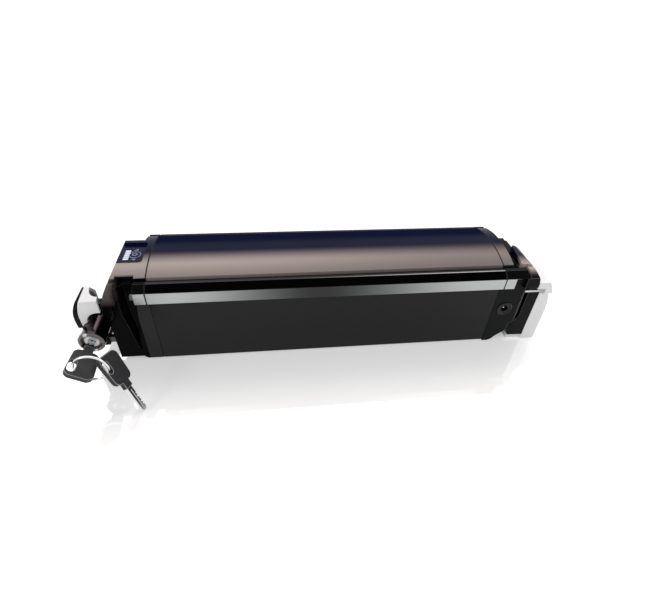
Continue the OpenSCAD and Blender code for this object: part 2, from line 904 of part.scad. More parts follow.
module battery_cells() {
  nub_r = 3;
  nub_h = 0.3;
  color("#3f8f7a") at_cells() rotate([90, 0, 0]) union() {
    translate([0, 0, -cell_l / 2]) cylinder(h = cell_l - nub_h, r = cell_d / 2, $fn = small_fn);
    translate([0, 0, cell_l / 2 - nub_h - over]) cylinder(h = nub_h + over, r = nub_r, $fn = small_fn);
  }
}

// Honeycomb holder round the cell ends on the near side
module cell_holder() {
  holder_d = 6;
  x0 = upper_x + upper_room;
  difference() {
    span([x0, -cell_l / 2, wall + pad_t], [x0 + stack_l, -cell_l / 2 + holder_d, wall + pad_t + stack_h]);
    at_cells() rotate([90, 0, 0]) cylinder(h = cell_l, r = cell_d / 2 + run, $fn = small_fn);
  }
}

module front_cell_holder() {
  color("#202124") cell_holder();
}

module rear_cell_holder() {
  color("#202124") mirror([0, 1, 0]) cell_holder();
}

// Welded strips that join two columns of cells at a time
module nickel_strips(first) {
  strip_t = 0.3;
  strip_w = 9;
  x0 = upper_x + upper_room + pitch / 2;
  z0 = wall + pad_t + pitch / 2;
  for (i = [first : 2 : columns - 1]) {
    n = i + 1 < columns ? 2 : 1;
    difference() {
      span([x0 + i * pitch - strip_w / 2, -cell_l / 2 - strip_t, z0 - strip_w / 2],
           [x0 + (i + n - 1) * pitch + strip_w / 2, -cell_l / 2, z0 + (rows - 1) * pitch + strip_w / 2]);
      if (n == 2) for (j = [0 : rows - 2]) translate([x0 + (i + 0.5) * pitch, -cell_l / 2, z0 + (j + 0.5) * pitch])
        rotate([90, 0, 0]) cylinder(h = 4 * strip_t, r = strip_w / 2, center = true, $fn = small_fn);
    }
  }
}

module front_nickel_strips() {
  color("#c9c9c4") nickel_strips(0);
}

module rear_nickel_strips() {
  color("#c9c9c4") mirror([0, 1, 0]) nickel_strips(1);
}

module foam(z0) {
  x0 = upper_x + upper_room;
  y = cell_l / 2;
  span([x0, -y, z0], [x0 + stack_l, y, z0 + pad_t]);
}

module upper_foam() {
  color("#4c4f55") foam(deck_low - pad_t);
}

module lower_foam() {
  color("#4c4f55") foam(wall);
}

// Electronics stand upright behind the last column of cells
bms_gap = 5;
bms_x = upper_x + upper_room + stack_l + bms_gap;
bms_t = 1.6;
bms_face = bms_x + bms_t;
bms_edge = 3;
bms_y = cell_l / 2 - bms_edge;
bms_z0 = wall;
bms_z1 = deck_low;
fet = [3.9, 6.5, 9];
fet_pitch = 8.4;
fet_z = 12;
fet_count = 7;
terminal = [6.5, 9, 6];
terminal_y = 9;
terminal_drop = 34;
terminal_z = bms_z1 - terminal_drop;
plate_h = 20;
module bms_board() {
  capacitor = [9, 4];
  capacitor_y = 20;
  capacitor_drop = 16;
  capacitor_z = bms_z1 - capacitor_drop;
  color("#17503a") union() {
    span([bms_x, -bms_y, bms_z0], [bms_face, bms_y, bms_z1]);
    for (i = [0 : fet_count - 1]) translate([bms_face, (i - (fet_count - 1) / 2) * fet_pitch, bms_z0 + fet_z])
      span([-bms_t, -fet[1] / 2, -fet[2] / 2], [fet[0], fet[1] / 2, fet[2] / 2]);
    for (s = [-1, 1]) bar_x(bms_x, bms_face + capacitor[0], s * capacitor_y, capacitor_z, capacitor[1]);
    for (s = [-1, 1]) translate([bms_face, s * terminal_y, terminal_z])
      span([-bms_t, -terminal[1] / 2, -terminal[2] / 2], [terminal[0], terminal[1] / 2, terminal[2] / 2]);
  }
}

// Finned aluminium plate over the transistors
module bms_heat_plate() {
  x0 = bms_face + fet[0] + gap;
  plate_t = 1.6;
  fin_h = 3;
  fin_t = 1;
  fin_pitch = 5;
  color("#b9bcc0") union() {
    span([x0, -bms_y, bms_z0], [x0 + plate_t, bms_y, bms_z0 + plate_h]);
    for (y = [-bms_y : fin_pitch : bms_y - fin_t])
      span([x0, y, bms_z0], [x0 + plate_t + fin_h, y + fin_t, bms_z0 + plate_h]);
  }
}

// Blade fuse in its holder on the board, between the terminals and the plate
module bms_fuse() {
  holder = [9, 20, 6];
  fuse = [5, 15, 8];
  z = bms_z0 + plate_h + gap;
  color("#c8642a") union() {
    translate([bms_face, -holder[1] / 2, z]) cube(holder);
    translate([bms_face + (holder[0] - fuse[0]) / 2, -fuse[1] / 2, z + holder[2] - over]) cube(fuse);
  }
}

// Sweeps a round wire of radius r through the points p
function unit(v) = v / norm(v);
function wire_dir(p, i) = unit(p[min(i + 1, len(p) - 1)] - p[max(i - 1, 0)]);
function wire_side(d) = unit(cross(d, abs(d[2]) < 0.9 ? [0, 0, 1] : [0, 1, 0]));
module wire(p, r, sides = 8) {
  n = len(p);
  rings = [for (i = [0 : n - 1]) let (d = wire_dir(p, i), s = wire_side(d), t = cross(s, d))
    [for (k = [0 : sides - 1]) p[i] + r * (cos(360 * k / sides) * s + sin(360 * k / sides) * t)]];
  polyhedron(
    points = [for (q = rings) for (v = q) v],
    faces = concat(
      [[for (k = [0 : sides - 1]) k]],
      [for (i = [0 : n - 2]) for (k = [0 : sides - 1]) let (a = i * sides + k, b = i * sides + (k + 1) % sides)
        [a, a + sides, b + sides, b]],
      [[for (k = [sides - 1 : -1 : 0]) (n - 1) * sides + k]]
    )
  );
}

// Points on a smooth lead from a to b with a bow sideways
function lead(a, b, bow, n = 8) =
  [for (i = [0 : n]) let (t = i / n, u = (1 - cos(180 * t)) / 2) [
    a[0] + (b[0] - a[0]) * t,
    a[1] + (b[1] - a[1]) * u,
    a[2] + (b[2] - a[2]) * u + bow * (1 - cos(360 * t)) / 2
  ]];

wire_r = 1.7;
thin_r = 0.8;
module power_wires() {
  x0 = bms_face + terminal[0] + gap;
  bow = 2;
  color("#b3262a") for (s = [-1, 1])
    wire(lead([x0, s * terminal_y, terminal_z], [lower_x, s * blade_pitch * 1.5, plug_z], bow), wire_r);
}

// Two leads that pass the plug's side to the back of the charging port
module charge_wires() {
  pair = 1.5;
  lane_y = -plug_w / 2 - wire_lane / 2;
  port = lower_x + port_x;
  bend = [5, 2.5, 1.4];
  back_y = -side_y + port_depth + thin_r;
  color("#a03030") for (s = [-1, 1]) wire([
    [bms_face + run, lane_y, port_z + s * pair], [lower_x - bend[0], lane_y, port_z + s * pair],
    [port - bend[0], lane_y, port_z + s * pair], [port - bend[1], lane_y + (back_y - lane_y) / 3, port_z + s * pair],
    [port - bend[2], back_y, port_z + s * pair]
  ], thin_r);
}

module display_wires() {
  x0 = well_x + spigot_t / 2;
  drop = [3, 12, 15, 16];
  z1 = deck_low;
  color("#30343a") wire([
    [x0, 0, board_z - run], [x0, 0, board_z - drop[0]], [x0 + over, 0, z1 - drop[1]],
    [x0 + 2 * drop[0], 0, z1 - drop[2]], [upper_x, 0, z1 - drop[3]],
    [upper_x + upper_room - gap, 0, z1 - drop[3]]
  ], 1.6 * thin_r);
}

// Outline of the lock mount's housing in the (y, z) plane, less a wall t
module housing_outline(t = 0) {
  low = t > 0 ? housing_low - over : housing_low;
  polygon([
    [-lip_y + housing_in + t, low], [-lip_y + t, ear_low], [-lip_y + t, ear_z - t / 2],
    [-housing_ridge_y, housing_ridge_z - t], [-housing_back - t, housing_back_z - t], [-housing_back - t, low]
  ]);
}

// Side outline of the housing from x on, curved in at the top like the cap
module housing_side(x, lean) {
  polygon(concat(
    [[end_u, housing_ridge_z], [end_u, housing_low - 2 * over], [x, housing_low - 2 * over]],
    nose(x, rim_bend_z, lean, housing_ridge_z - rim_bend_z)
  ));
}

// Places of the two screws that hold the white shell
module at_shell_screws() {
  for (i = [0, 1]) translate([0, -(block_top_front + housing_back + shell_t + gap) / 2, shell_screw_z + i * shell_screw_pitch])
    children();
}

// Black base of the lock mount: rim plate, lock block, bolt guide and fixing plate
module lock_base() {
  post_x0 = shell_x + shell_t + gap;
  seat_x = rim_x + shell_head_in;
  color("#151516") difference() {
    union() {
      intersection() {
        along_x(rim_x, lock_x) housing_outline();
        along_y(-lip_y, 0) difference() {
          housing_side(rim_x, rim_lean);
          housing_side(rim_x + rim_t, shell_lean);
        }
      }
      span([rim_x, -block_front, block_low], [block_x1, -barrel_back, block_mid]);
      span([rim_x, -block_top_front, block_low], [block_x1, -barrel_back, block_top]);
      span([rim_x, -barrel_back - over, block_low], [mount_x, -block_back, chamber_top + shell_t]);
      intersection() {
        span([post_x0, -block_top_front, block_mid], [lock_x, -housing_back - shell_t - gap, post_top]);
        along_y(-lip_y, 0) housing_side(post_x0, shell_lean);
      }
      span([rim_x, -bolt_y - bolt_w / 2 - guide_t, bolt_z - bolt_h / 2 - guide_t],
           [block_x1, -bolt_y + bolt_w / 2 + guide_t, block_low + over]);
      span([rim_x, -block_front, lock_plate_z0], [rim_x + lock_plate_t, lock_plate_y, lock_plate_z1]);
      span([rim_x, -block_front, lock_plate_z0], [rim_x + lock_plate_t, -block_back, block_mid]);
    }
    // barrel bore, cam chamber and bolt channel
    bar_y(-lip_y - over, -barrel_back + run, lock_x, lock_z, barrel_d / 2 + run);
    span([lock_x - cam_r - cam_pin_d - fork_wall - 4 * gap, -barrel_back, block_low - over],
         [mount_x - 4 * gap, -fork_y + fork_t / 2 + gap, chamber_top]);
    span([rim_x + over, -bolt_y - bolt_w / 2 - gap, bolt_z - bolt_h / 2 - gap],
         [block_x1 + over, -bolt_y + bolt_w / 2 + gap, bolt_z + bolt_h / 2 + gap]);
    span([lock_x - cam_shift - 3 * fork_wall - over, -bolt_y, bolt_z - bolt_h / 2 - guide_t - over],
         [block_x1 + over, -fork_y, bolt_z + gap]);
    for (s = [0, 1]) bar_x(rim_x - over, rim_x + lock_plate_t + over, lock_hole_y + s * lock_pitch,
                           (lock_plate_z0 + lock_plate_z1) / 2, mount_hole_d / 2);
    at_shell_screws() {
      bar_x(rim_x - over, seat_x, 0, 0, shell_head_r + gap);
      bar_x(rim_x - over, shell_x, 0, 0, lip_screw_r + gap);
      bar_x(shell_x, lock_x - over, 0, 0, lip_screw_r);
    }
  }
}

// White metal shell over the lock block
module lock_bracket() {
  step_x = mount_x;
  color("#e9ebee") difference() {
    intersection() {
      along_x(shell_x, mount_x) housing_outline();
      along_y(-lip_y, 0) housing_side(shell_x, shell_lean);
    }
    // hollow, open below and towards the cap
    intersection() {
      along_x(shell_x, mount_x + over) housing_outline(shell_t);
      along_y(-lip_y, 0) housing_side(shell_x + shell_t, shell_lean);
    }
    // clearance for the lock block
    span([shell_x - over, -block_front - gap, 0], [mount_x + over, 0, block_mid + gap]);
    span([shell_x - over, -block_top_front - gap, 0], [mount_x + over, 0, block_top + gap]);
    // notch with a round corner beside the barrel
    bar_y(-lip_y - over, -notch_y, notch_x + notch_r, ear_low - notch_r, notch_r);
    span([notch_x, -lip_y - over, 0], [mount_x + over, -notch_y, ear_low - notch_r]);
    span([notch_x + notch_r, -lip_y - over, 0], [mount_x + over, -notch_y, ear_low]);
    bar_y(-lip_y - over, -barrel_back, lock_x, lock_z, barrel_d / 2 + 2 * gap);
    // the top steps down beside the cap
    bar_z(block_top, pack_h, step_x, -step_y, step_r);
    span([step_x - step_r, -step_y, block_top], [mount_x + over, 0, pack_h]);
    at_shell_screws() bar_x(shell_x - over, lock_x, 0, 0, lip_screw_r + gap);
  }
}

// Barrel that holds the core, with a groove for its clip
module lock_barrel() {
  r = barrel_d / 2;
  bore = core_d / 2 + run;
  l = barrel_front - collar_l - barrel_back;
  color("#3b3638") translate([lock_x, -barrel_back, lock_z]) rotate([90, 0, 0]) rotate_extrude($fn = round_fn)
    polygon([
      [bore, 0], [r, 0], [r, clip_in], [r - clip_depth, clip_in], [r - clip_depth, clip_in + clip_t + gap / 2],
      [r, clip_in + clip_t + gap / 2], [r, l], [bore, l]
    ]);
}

// Bright ring round the keyway
module lock_collar() {
  r = collar_d / 2;
  bore = core_d / 2 + run;
  mouth = core_d / 2 + 1.6 * over;
  edge = 1.6;
  seat = 2.6;
  color("#c9c6c4") translate([lock_x, -barrel_front + collar_l, lock_z]) rotate([90, 0, 0])
    rotate_extrude($fn = round_fn) polygon([
      [bore, 0], [r - over, 0], [r, over], [r, collar_l - edge], [r - edge, collar_l], [mouth + over, collar_l],
      [mouth, collar_l - over], [mouth, seat], [bore, seat]
    ]);
}

module barrel_clip() {
  color("#8d8f92") translate([lock_x, -barrel_back - clip_in - gap / 4, lock_z]) rotate([90, 0, 0]) difference() {
    cylinder(h = clip_t, r = barrel_d / 2 + run / 2, $fn = small_fn);
    translate([0, 0, -over]) cylinder(h = clip_t + 2 * over, r = barrel_d / 2 - clip_depth + run, $fn = small_fn);
    translate([-barrel_d / 4, 0, -over]) cube([barrel_d / 2, barrel_d, clip_t + 2 * over]);
  }
}

module lock_mount_screws() {
  color("#3a3a3c") at_shell_screws()
    socket_screw(rim_x + shell_head_in, 1, shell_screw_l, shell_head_r, shell_head_h);
}

// Turning core with its keyway
module lock_core() {
  face = barrel_front - 3;
  color("#8f8b88") translate([lock_x, 0, lock_z]) rotate([0, key_turn, 0]) difference() {
    bar_y(-face, -barrel_back, 0, 0, core_d / 2);
    span([-blade_w / 2 - gap, -face - over, -blade_t / 2 - gap],
         [blade_w / 2 + gap, -head_y + head_l / 2 + shank_l + 2 * gap, blade_t / 2 + gap]);
  }
}

// Cam disc on the core's back, with the pin that drives the bolt
module lock_cam() {
  disc_t = 1.6;
  color("#9a9c9f") translate([lock_x, 0, lock_z]) union() {
    bar_y(-barrel_back, -barrel_back + disc_t, 0, 0, core_d / 2 + 0.6);
    translate([cam_shift, 0, -cam_shift])
      bar_y(-barrel_back + disc_t - over, -fork_y + fork_t / 2, 0, 0, cam_pin_d / 2);
  }
}

// Bolt with its tongue, its arm under the barrel and its fork at the cam
module latch_bolt() {
  x_pin = lock_x + cam_shift;
  slot = cam_pin_d / 2 + 1.2 * gap;
  arm_x0 = x_pin - slot - fork_wall;
  arm_x1 = block_x1 - over;
  z0 = bolt_z - bolt_h / 2;
  arm_h = 3;
  tongue_back = 1.5;
  tongue_l = 2;
  tongue_edge = 1;
  fork_top = lock_z - cam_shift + cam_pin_d / 2 + gap;
  color("#1d1d1f") difference() {
    union() {
      span([arm_x0, -bolt_y - bolt_w / 2, z0], [bolt_tip - tongue_back, -bolt_y + bolt_w / 2, z0 + bolt_h]);
      span([bolt_tip - tongue_l, -bolt_y - bolt_w / 2, z0 + tongue_edge],
           [bolt_tip, -bolt_y + bolt_w / 2, z0 + bolt_h - tongue_edge]);
      span([arm_x0, -bolt_y, z0], [arm_x1, -fork_y + fork_t / 2, z0 + arm_h]);
      span([arm_x0, -fork_y - fork_t / 2, z0], [x_pin + slot + fork_wall, -fork_y + fork_t / 2, fork_top]);
    }
    span([x_pin - slot, -barrel_back, lock_z - cam_r - slot], [x_pin + slot, 0, lock_z]);
  }
}

// Flat head of a key, its blade pointing along +y, with the ring's slot on -x
module key_head_shape() {
  r = 5;
  taper = 0.9;
  neck_w = 7.4;
  neck_l = 5.6;
  w = head_w / 2;
  l = head_l / 2;
  difference() {
    linear_extrude(head_t, center = true) difference() {
      union() {
        hull() {
          for (s = [-1, 1]) translate([s * (w - r), -l + r]) circle(r = r, $fn = round_fn);
          for (s = [-1, 1]) translate([s * (w - r - taper), l - r]) circle(r = r, $fn = round_fn);
        }
        translate([-neck_w / 2, l - over]) square([neck_w, neck_l + over]);
      }
      // slot with round ends
      translate([-slot_side, 0]) union() {
        translate([-slot_w / 2, -slot_far + slot_w / 2]) square([slot_w, slot_far + slot_near - slot_w]);
        for (y = [-slot_far + slot_w / 2, slot_near - slot_w / 2]) translate([0, y]) circle(r = slot_w / 2, $fn = small_fn);
      }
    }
    // seat of the blade inside the head
    span([-blade_w / 2, l - shank_in, -blade_t / 2], [blade_w / 2, l + neck_l + over, blade_t / 2]);
  }
}

// Grooved blade with its cuts, from inside the head to the tip
module key_blade_shape() {
  l = head_l / 2;
  tip = l + shank_l;
  cut_share = [0.46, 0.55, 0.64, 0.73, 0.82];
  depth_share = [0.16, 0.28, 0.12, 0.24, 0.18];
  cut_r = 1;
  groove = 0.5;
  tip_cut = 2;
  tip_slope = 1.6;
  w = blade_w / 2;
  difference() {
    linear_extrude(blade_t, center = true) polygon([
      [-w, l - shank_in], [w, l - shank_in], [w, tip - tip_cut], [w - tip_slope, tip], [-w + tip_slope, tip],
      [-w, tip - tip_cut]
    ]);
    for (i = [0 : len(cut_share) - 1]) translate([w + cut_r - depth_share[i] * blade_w, l + cut_share[i] * shank_l, 0])
      cylinder(h = blade_t + over, r = cut_r, center = true, $fn = small_fn);
    for (s = [-1, 1]) span([-groove * 2, l + shank_in, s > 0 ? blade_t / 2 - groove : -blade_t / 2 - over],
                           [groove, tip + over, s > 0 ? blade_t / 2 + over : -blade_t / 2 + groove]);
  }
}

module in_lock() {
  translate([lock_x, -head_y, lock_z]) rotate([0, key_turn, 0]) children();
}

module key_head() {
  color("#3b3d42") in_lock() key_head_shape();
}

module key_blade() {
  color("#c9ccd0") in_lock() key_blade_shape();
}

// Centre of the key ring: it passes the slot of the key in the lock
ring_c = [
  lock_x - slot_cross * cos(key_turn) - ring_d / 2 * cos(ring_turn),
  -ring_plane,
  lock_z + slot_cross * sin(key_turn) - ring_d / 2 * sin(ring_turn)
];
module key_ring() {
  color("#d4d6d9") translate(ring_c) rotate([90, 0, 0]) rotate_extrude($fn = round_fn)
    translate([ring_d / 2, 0]) circle(r = ring_wire / 2, $fn = small_fn);
}

// The spare key hangs on the ring and rests near its tip
module on_ring() {
  slot_mid = 1;
  translate(ring_c + ring_d / 2 * [cos(spare_turn), 0, sin(spare_turn)])
    rotate([spare_pitch, spare_roll, spare_yaw])
      translate([slot_cross, slot_mid, 0]) children();
}

module spare_key_head() {
  color("#3b3d42") on_ring() key_head_shape();
}

module spare_key_blade() {
  color("#c9ccd0") on_ring() key_blade_shape();
}

// Side outline of the mount base's lower block
module base_side() {
  heel = core_heel(2 * gap);
  toe_x = heel[0][0];
  lean_x = end_l - cap_lean / 2 + 2 * gap;
  polygon(concat(
    [[toe_x + toe_l, base_foot], [toe_x + toe_l / 2, (base_foot + heel[0][1]) / 2]], heel,
    [[end_l + 2 * gap, base_top - bracket_flare], [lean_x, base_top], [base_end, base_top], [base_end, base_foot - gap]]
  ));
}

// Side outline of the hood, its end curved in at the crown
module hood_side() {
  polygon(concat(
    [[hood_x, base_top - over], [hood_end, base_top - over]],
    nose(hood_end, hood_bend_z, -hood_in, pack_h - hood_bend_z), [[hood_x, pack_h]]
  ));
}

// Hood over the cap's near corner, hollow below the crown
module hood() {
  difference() {
    intersection() {
      along_x(hood_x, hood_end) union() {
        pack_outline();
        translate([-groove_y - over, deck_z - over]) square([groove_y, groove_h + over]);
      }
      along_y(-lip_y, -hood_y) hood_side();
    }
    intersection() {
      along_x(hood_x - over, hood_end) crown_outline(hood_t);
      along_y(-lip_y, -hood_y - hood_t) translate([-hood_t, 0]) hood_side();
    }
    // the lip starts further back, and above it the beak has its room
    span([hood_x - over, -lip_y - over, 0], [hood_lip_x, -cover_y + gap, pack_h]);
    span([hood_x - over, -lip_y - over, lip_top - gap], [beak_x + gap, -cover_y + gap, pack_h]);
  }
}

// Block and hood round the cap's end, with the plug's opening
module mount_base() {
  wall_y = side_y - base_wall;
  hole_y = plug_w / 2 - gap;
  hole_z = plug_h / 2 - 2 * over;
  color("#141416") difference() {
    union() {
      along_y(-side_y, side_y) base_side();
      hood();
    }
    // clearance round the cap's core
    intersection() {
      along_y(-side_y - gap, side_y + gap) lower_core_side(2 * gap);
      span([hood_x - over, -lip_y, heel_z], [end_l + 2 * gap, lip_y, pack_h]);
    }
    // hollow back, open to the bracket
    span([base_end - base_hollow_l, -wall_y, base_foot + base_floor], [base_end + over, wall_y, base_hollow_z]);
    span([end_l - over, -hole_y, plug_z - hole_z], [base_end, hole_y, plug_z + hole_z]);
    for (s = [-1, 1]) bar_z(0, base_foot + base_floor + over, base_end - base_screw_in, s * base_screw_y, m4_r);
  }
}

// Plug block on the base, with six blades
module plug_housing() {
  x0 = lower_x + socket_l + 2 * gap;
  x1 = end_l + 2 * gap;
  wall_t = 2;
  back_t = 3;
  y = plug_w / 2 - socket_clear;
  z = plug_h / 2 - socket_clear;
  color("#101011") difference() {
    span([x0, -y, plug_z - z], [x1, y, plug_z + z]);
    span([x0 - over, -y + wall_t, plug_z - z + wall_t], [x1 - gap - back_t, y - wall_t, plug_z + z - wall_t]);
    for (i = [0 : blade_count - 1]) span(
      [x0 - over, blade_y(i) - contact_w / 2, plug_z - contact_h / 2],
      [x1 + over, blade_y(i) + contact_w / 2, plug_z + contact_h / 2]);
  }
}

module plug_blades() {
  tip_in = 5;
  tail_in = 5;
  x0 = lower_x + socket_l - contact_l + tip_in;
  color("#cfa256") for (i = [0 : blade_count - 1])
    span([x0, blade_y(i) - contact_w / 2, plug_z - contact_h / 2],
         [base_end - tail_in, blade_y(i) + contact_w / 2, plug_z + contact_h / 2]);
}

// Foam seal round the plug
module mount_seal() {
  seal_t = 0.3;
  band = 3;
  y = plug_w / 2 + gap;
  z = plug_h / 2 + gap;
  x = end_l + 2 * gap;
  color("#2a2a2a") difference() {
    span([x - seal_t, -y - band, plug_z - z - band], [x, y + band, plug_z + z + band]);
    span([x - seal_t - over, -y, plug_z - z], [x + over, y, plug_z + z]);
  }
}

// Outline of the white bracket in the (y, z) plane, ear on the near side, less a wall t
module bracket_outline(t = 0) {
  polygon([
    [-side_y + t, bracket_lift + t], [-side_y + t, ear_low - bracket_flare], [-lip_y + t, ear_low],
    [-lip_y + t, ear_z - t / 2], [-bracket_ridge_y, core_top - t], [-bracket_ridge_y + bracket_ridge_run - t, saddle_z - t],
    [side_y - t, saddle_z - t], [side_y - t, bracket_lift + t]
  ]);
}

// Its side outline: behind the block below, and over the block behind the hood above
module bracket_side(t = 0) {
  open = t > 0 ? over : 0;
  outer = nose(bracket_end - t, bracket_bend_z, -bracket_lean, bracket_bend_h);
  polygon(concat(
    [[bracket_end - t, bracket_lift - over], [bracket_x - open, bracket_lift - over],
     [bracket_x - open, base_top + gap], [hood_end + gap - open, base_top + gap]],
    nose(hood_end + gap - open, hood_bend_z, -hood_in, pack_h - hood_bend_z),
    [for (i = [len(outer) - 1 : -1 : 0]) outer[i]]
  ));
}

module lower_bracket() {
  foot_x = end_l - 1.2 * bracket_t;
  foot_y = side_y - 2 * over;
  tab_from = 5;
  tab_x = hood_lip_x + tab_from;
  tab_t = 0.9;
  tab_h = 1.8;
  color("#e9ebee") difference() {
    union() {
      difference() {
        intersection() {
          along_x(hood_x, bracket_end) bracket_outline();
          along_y(-lip_y, side_y) bracket_side();
        }
        intersection() {
          along_x(hood_x, bracket_end) bracket_outline(bracket_t);
          along_y(-lip_y, side_y) bracket_side(bracket_t);
          span([hood_x, -lip_y, bracket_lift + bracket_floor], [bracket_end, lip_y, pack_h]);
        }
      }
      span([foot_x, -foot_y, bracket_lift], [bracket_x + over, foot_y, bracket_lift + bracket_floor]);
      // thin tab along the block's side
      span([tab_x, -side_y - tab_t - gap, ear_low - tab_h], [bracket_x + bracket_t, -side_y - gap, ear_low]);
      span([bracket_x, -lip_y + over, ear_low - tab_h], [bracket_x + bracket_t, -side_y, ear_low + tab_h]);
    }
    for (s = [-1, 1]) bar_x(bracket_x, bracket_end + over, s * mount_pitch / 2, bolt_row_z, mount_hole_d / 2);
    bar_x(bracket_x, bracket_end + over, 0, outlet_z, outlet_d / 2);
    for (s = [-1, 1]) {
      bar_z(-over, bracket_lift + bracket_floor + over, base_end - base_screw_in, s * base_screw_y, m4_r + gap);
      bar_z(-over, bracket_lift + base_screw_seat, base_end - base_screw_in, s * base_screw_y, m4_head_r + gap);
    }
  }
}

// Screws that hold the base down on the bracket's foot
module mount_screws() {
  z = bracket_lift + base_screw_seat;
  color("#3a3a3c") for (s = [-1, 1]) translate([base_end - base_screw_in, s * base_screw_y, z]) difference() {
    union() {
      cylinder(h = base_screw_l, r = m4_r, $fn = small_fn);
      translate([0, 0, -m4_head_h]) cylinder(h = m4_head_h, r = m4_head_r, $fn = small_fn);
    }
    translate([0, 0, -m4_head_h - over]) cylinder(h = over + m4_head_h / 2, r = m4_r, $fn = 6);
  }
}

// Gland in the bracket's cable outlet
module cable_gland() {
  hole_r = 4;
  lip_w = 2;
  lip_t = 1.6;
  back_t = 2;
  lip_r = outlet_d / 2 + lip_w;
  color("#1a1a1b") translate([bracket_end, 0, outlet_z]) rotate([0, 90, 0]) difference() {
    union() {
      cylinder(h = lip_t, r = lip_r, $fn = small_fn);
      translate([0, 0, -bracket_t - back_t])
        cylinder(h = bracket_t + back_t + over, r = outlet_d / 2 - run, $fn = small_fn);
      translate([0, 0, -bracket_t - back_t]) cylinder(h = back_t - gap, r = lip_r, $fn = small_fn);
    }
    translate([0, 0, -bracket_t - back_t - over])
      cylinder(h = bracket_t + back_t + lip_t + 2 * over, r = hole_r, $fn = small_fn);
  }
}

case_body();
top_cover();
upper_end_cap();
lower_end_cap();
upper_gasket();
lower_gasket();
upper_cap_screws();
lower_cap_screws();
display_window();
display_board();
level_lights();
power_button();
charge_port();
charge_port_nut();
charge_pin();
discharge_socket();
socket_contacts();
battery_cells();
front_cell_holder();
rear_cell_holder();
front_nickel_strips();
rear_nickel_strips();
upper_foam();
lower_foam();
bms_board();
bms_heat_plate();
bms_fuse();
power_wires();
charge_wires();
display_wires();
lock_base();
lock_bracket();
lock_barrel();
lock_collar();
barrel_clip();
lock_mount_screws();
lock_core();
lock_cam();
latch_bolt();
key_blade();
key_head();
key_ring();
spare_key_blade();
spare_key_head();
mount_base();
lower_bracket();
plug_housing();
plug_blades();
mount_seal();
mount_screws();
cable_gland();
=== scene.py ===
"""Looks of an e-bike downtube battery with its lock, keys and plug-in mount."""

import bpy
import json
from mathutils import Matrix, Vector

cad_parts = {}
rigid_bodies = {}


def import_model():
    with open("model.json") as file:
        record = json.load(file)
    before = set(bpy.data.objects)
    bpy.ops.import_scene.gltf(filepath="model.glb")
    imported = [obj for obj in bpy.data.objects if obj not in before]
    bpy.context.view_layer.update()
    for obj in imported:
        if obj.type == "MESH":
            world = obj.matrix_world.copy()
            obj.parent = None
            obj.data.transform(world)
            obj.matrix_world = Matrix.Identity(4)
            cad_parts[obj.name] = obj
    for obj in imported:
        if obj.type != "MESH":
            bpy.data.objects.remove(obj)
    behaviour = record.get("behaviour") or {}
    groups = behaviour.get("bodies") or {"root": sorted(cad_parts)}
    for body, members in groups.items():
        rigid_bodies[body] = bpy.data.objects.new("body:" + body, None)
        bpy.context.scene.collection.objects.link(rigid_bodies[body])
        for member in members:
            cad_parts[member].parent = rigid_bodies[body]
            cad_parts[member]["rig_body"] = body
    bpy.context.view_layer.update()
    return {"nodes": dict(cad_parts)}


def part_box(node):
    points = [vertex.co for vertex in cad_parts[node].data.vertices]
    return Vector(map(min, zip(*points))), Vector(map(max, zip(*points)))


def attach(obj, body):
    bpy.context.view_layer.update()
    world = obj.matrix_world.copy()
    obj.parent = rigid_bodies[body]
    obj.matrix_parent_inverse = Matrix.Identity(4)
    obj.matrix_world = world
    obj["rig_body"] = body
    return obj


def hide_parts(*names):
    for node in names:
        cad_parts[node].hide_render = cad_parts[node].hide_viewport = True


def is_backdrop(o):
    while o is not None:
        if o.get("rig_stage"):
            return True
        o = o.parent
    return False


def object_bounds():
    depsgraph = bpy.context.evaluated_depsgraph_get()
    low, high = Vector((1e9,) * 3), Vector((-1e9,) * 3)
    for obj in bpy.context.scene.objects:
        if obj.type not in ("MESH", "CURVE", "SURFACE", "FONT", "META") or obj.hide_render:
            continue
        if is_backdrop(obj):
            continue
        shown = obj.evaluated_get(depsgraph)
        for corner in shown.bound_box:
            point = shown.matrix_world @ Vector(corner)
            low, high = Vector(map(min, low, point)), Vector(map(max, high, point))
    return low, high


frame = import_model()

import json
import math

import bmesh
import bpy
from bpy.props import FloatProperty, FloatVectorProperty, IntProperty, PointerProperty
from bpy.types import Operator, Panel, PropertyGroup
from mathutils import Matrix, Vector

bl_info = {
    "name": "E-Bike Battery Looks",
    "version": (1, 0, 0),
    "blender": (4, 5, 0),
    "location": "View3D > Sidebar > Battery",
    "description": "Dresses the battery, its mounts and its keys",
    "category": "Object",
}

MM = 0.001


# Shader maths

class Nodes:
    """A node tree, with the one method that adds nodes to it."""

    def __init__(self, tree):
        self.tree = tree

    def node(self, kind, settings=None, values=None, output=0):
        """Adds a node, with its settings first and then its inputs, and returns an output."""
        node = self.tree.nodes.new(kind)
        for key, value in (settings or {}).items():
            setattr(node, key, value)
        for key, value in (values or {}).items():
            self.fill(node, key, value)
        return Sock(self.tree, node.outputs[output])

    def fill(self, node, key, value):
        """Links a node's input to a socket, or gives it a value."""
        if isinstance(value, Sock):
            self.tree.links.new(value.socket, node.inputs[key])
        else:
            node.inputs[key].default_value = value


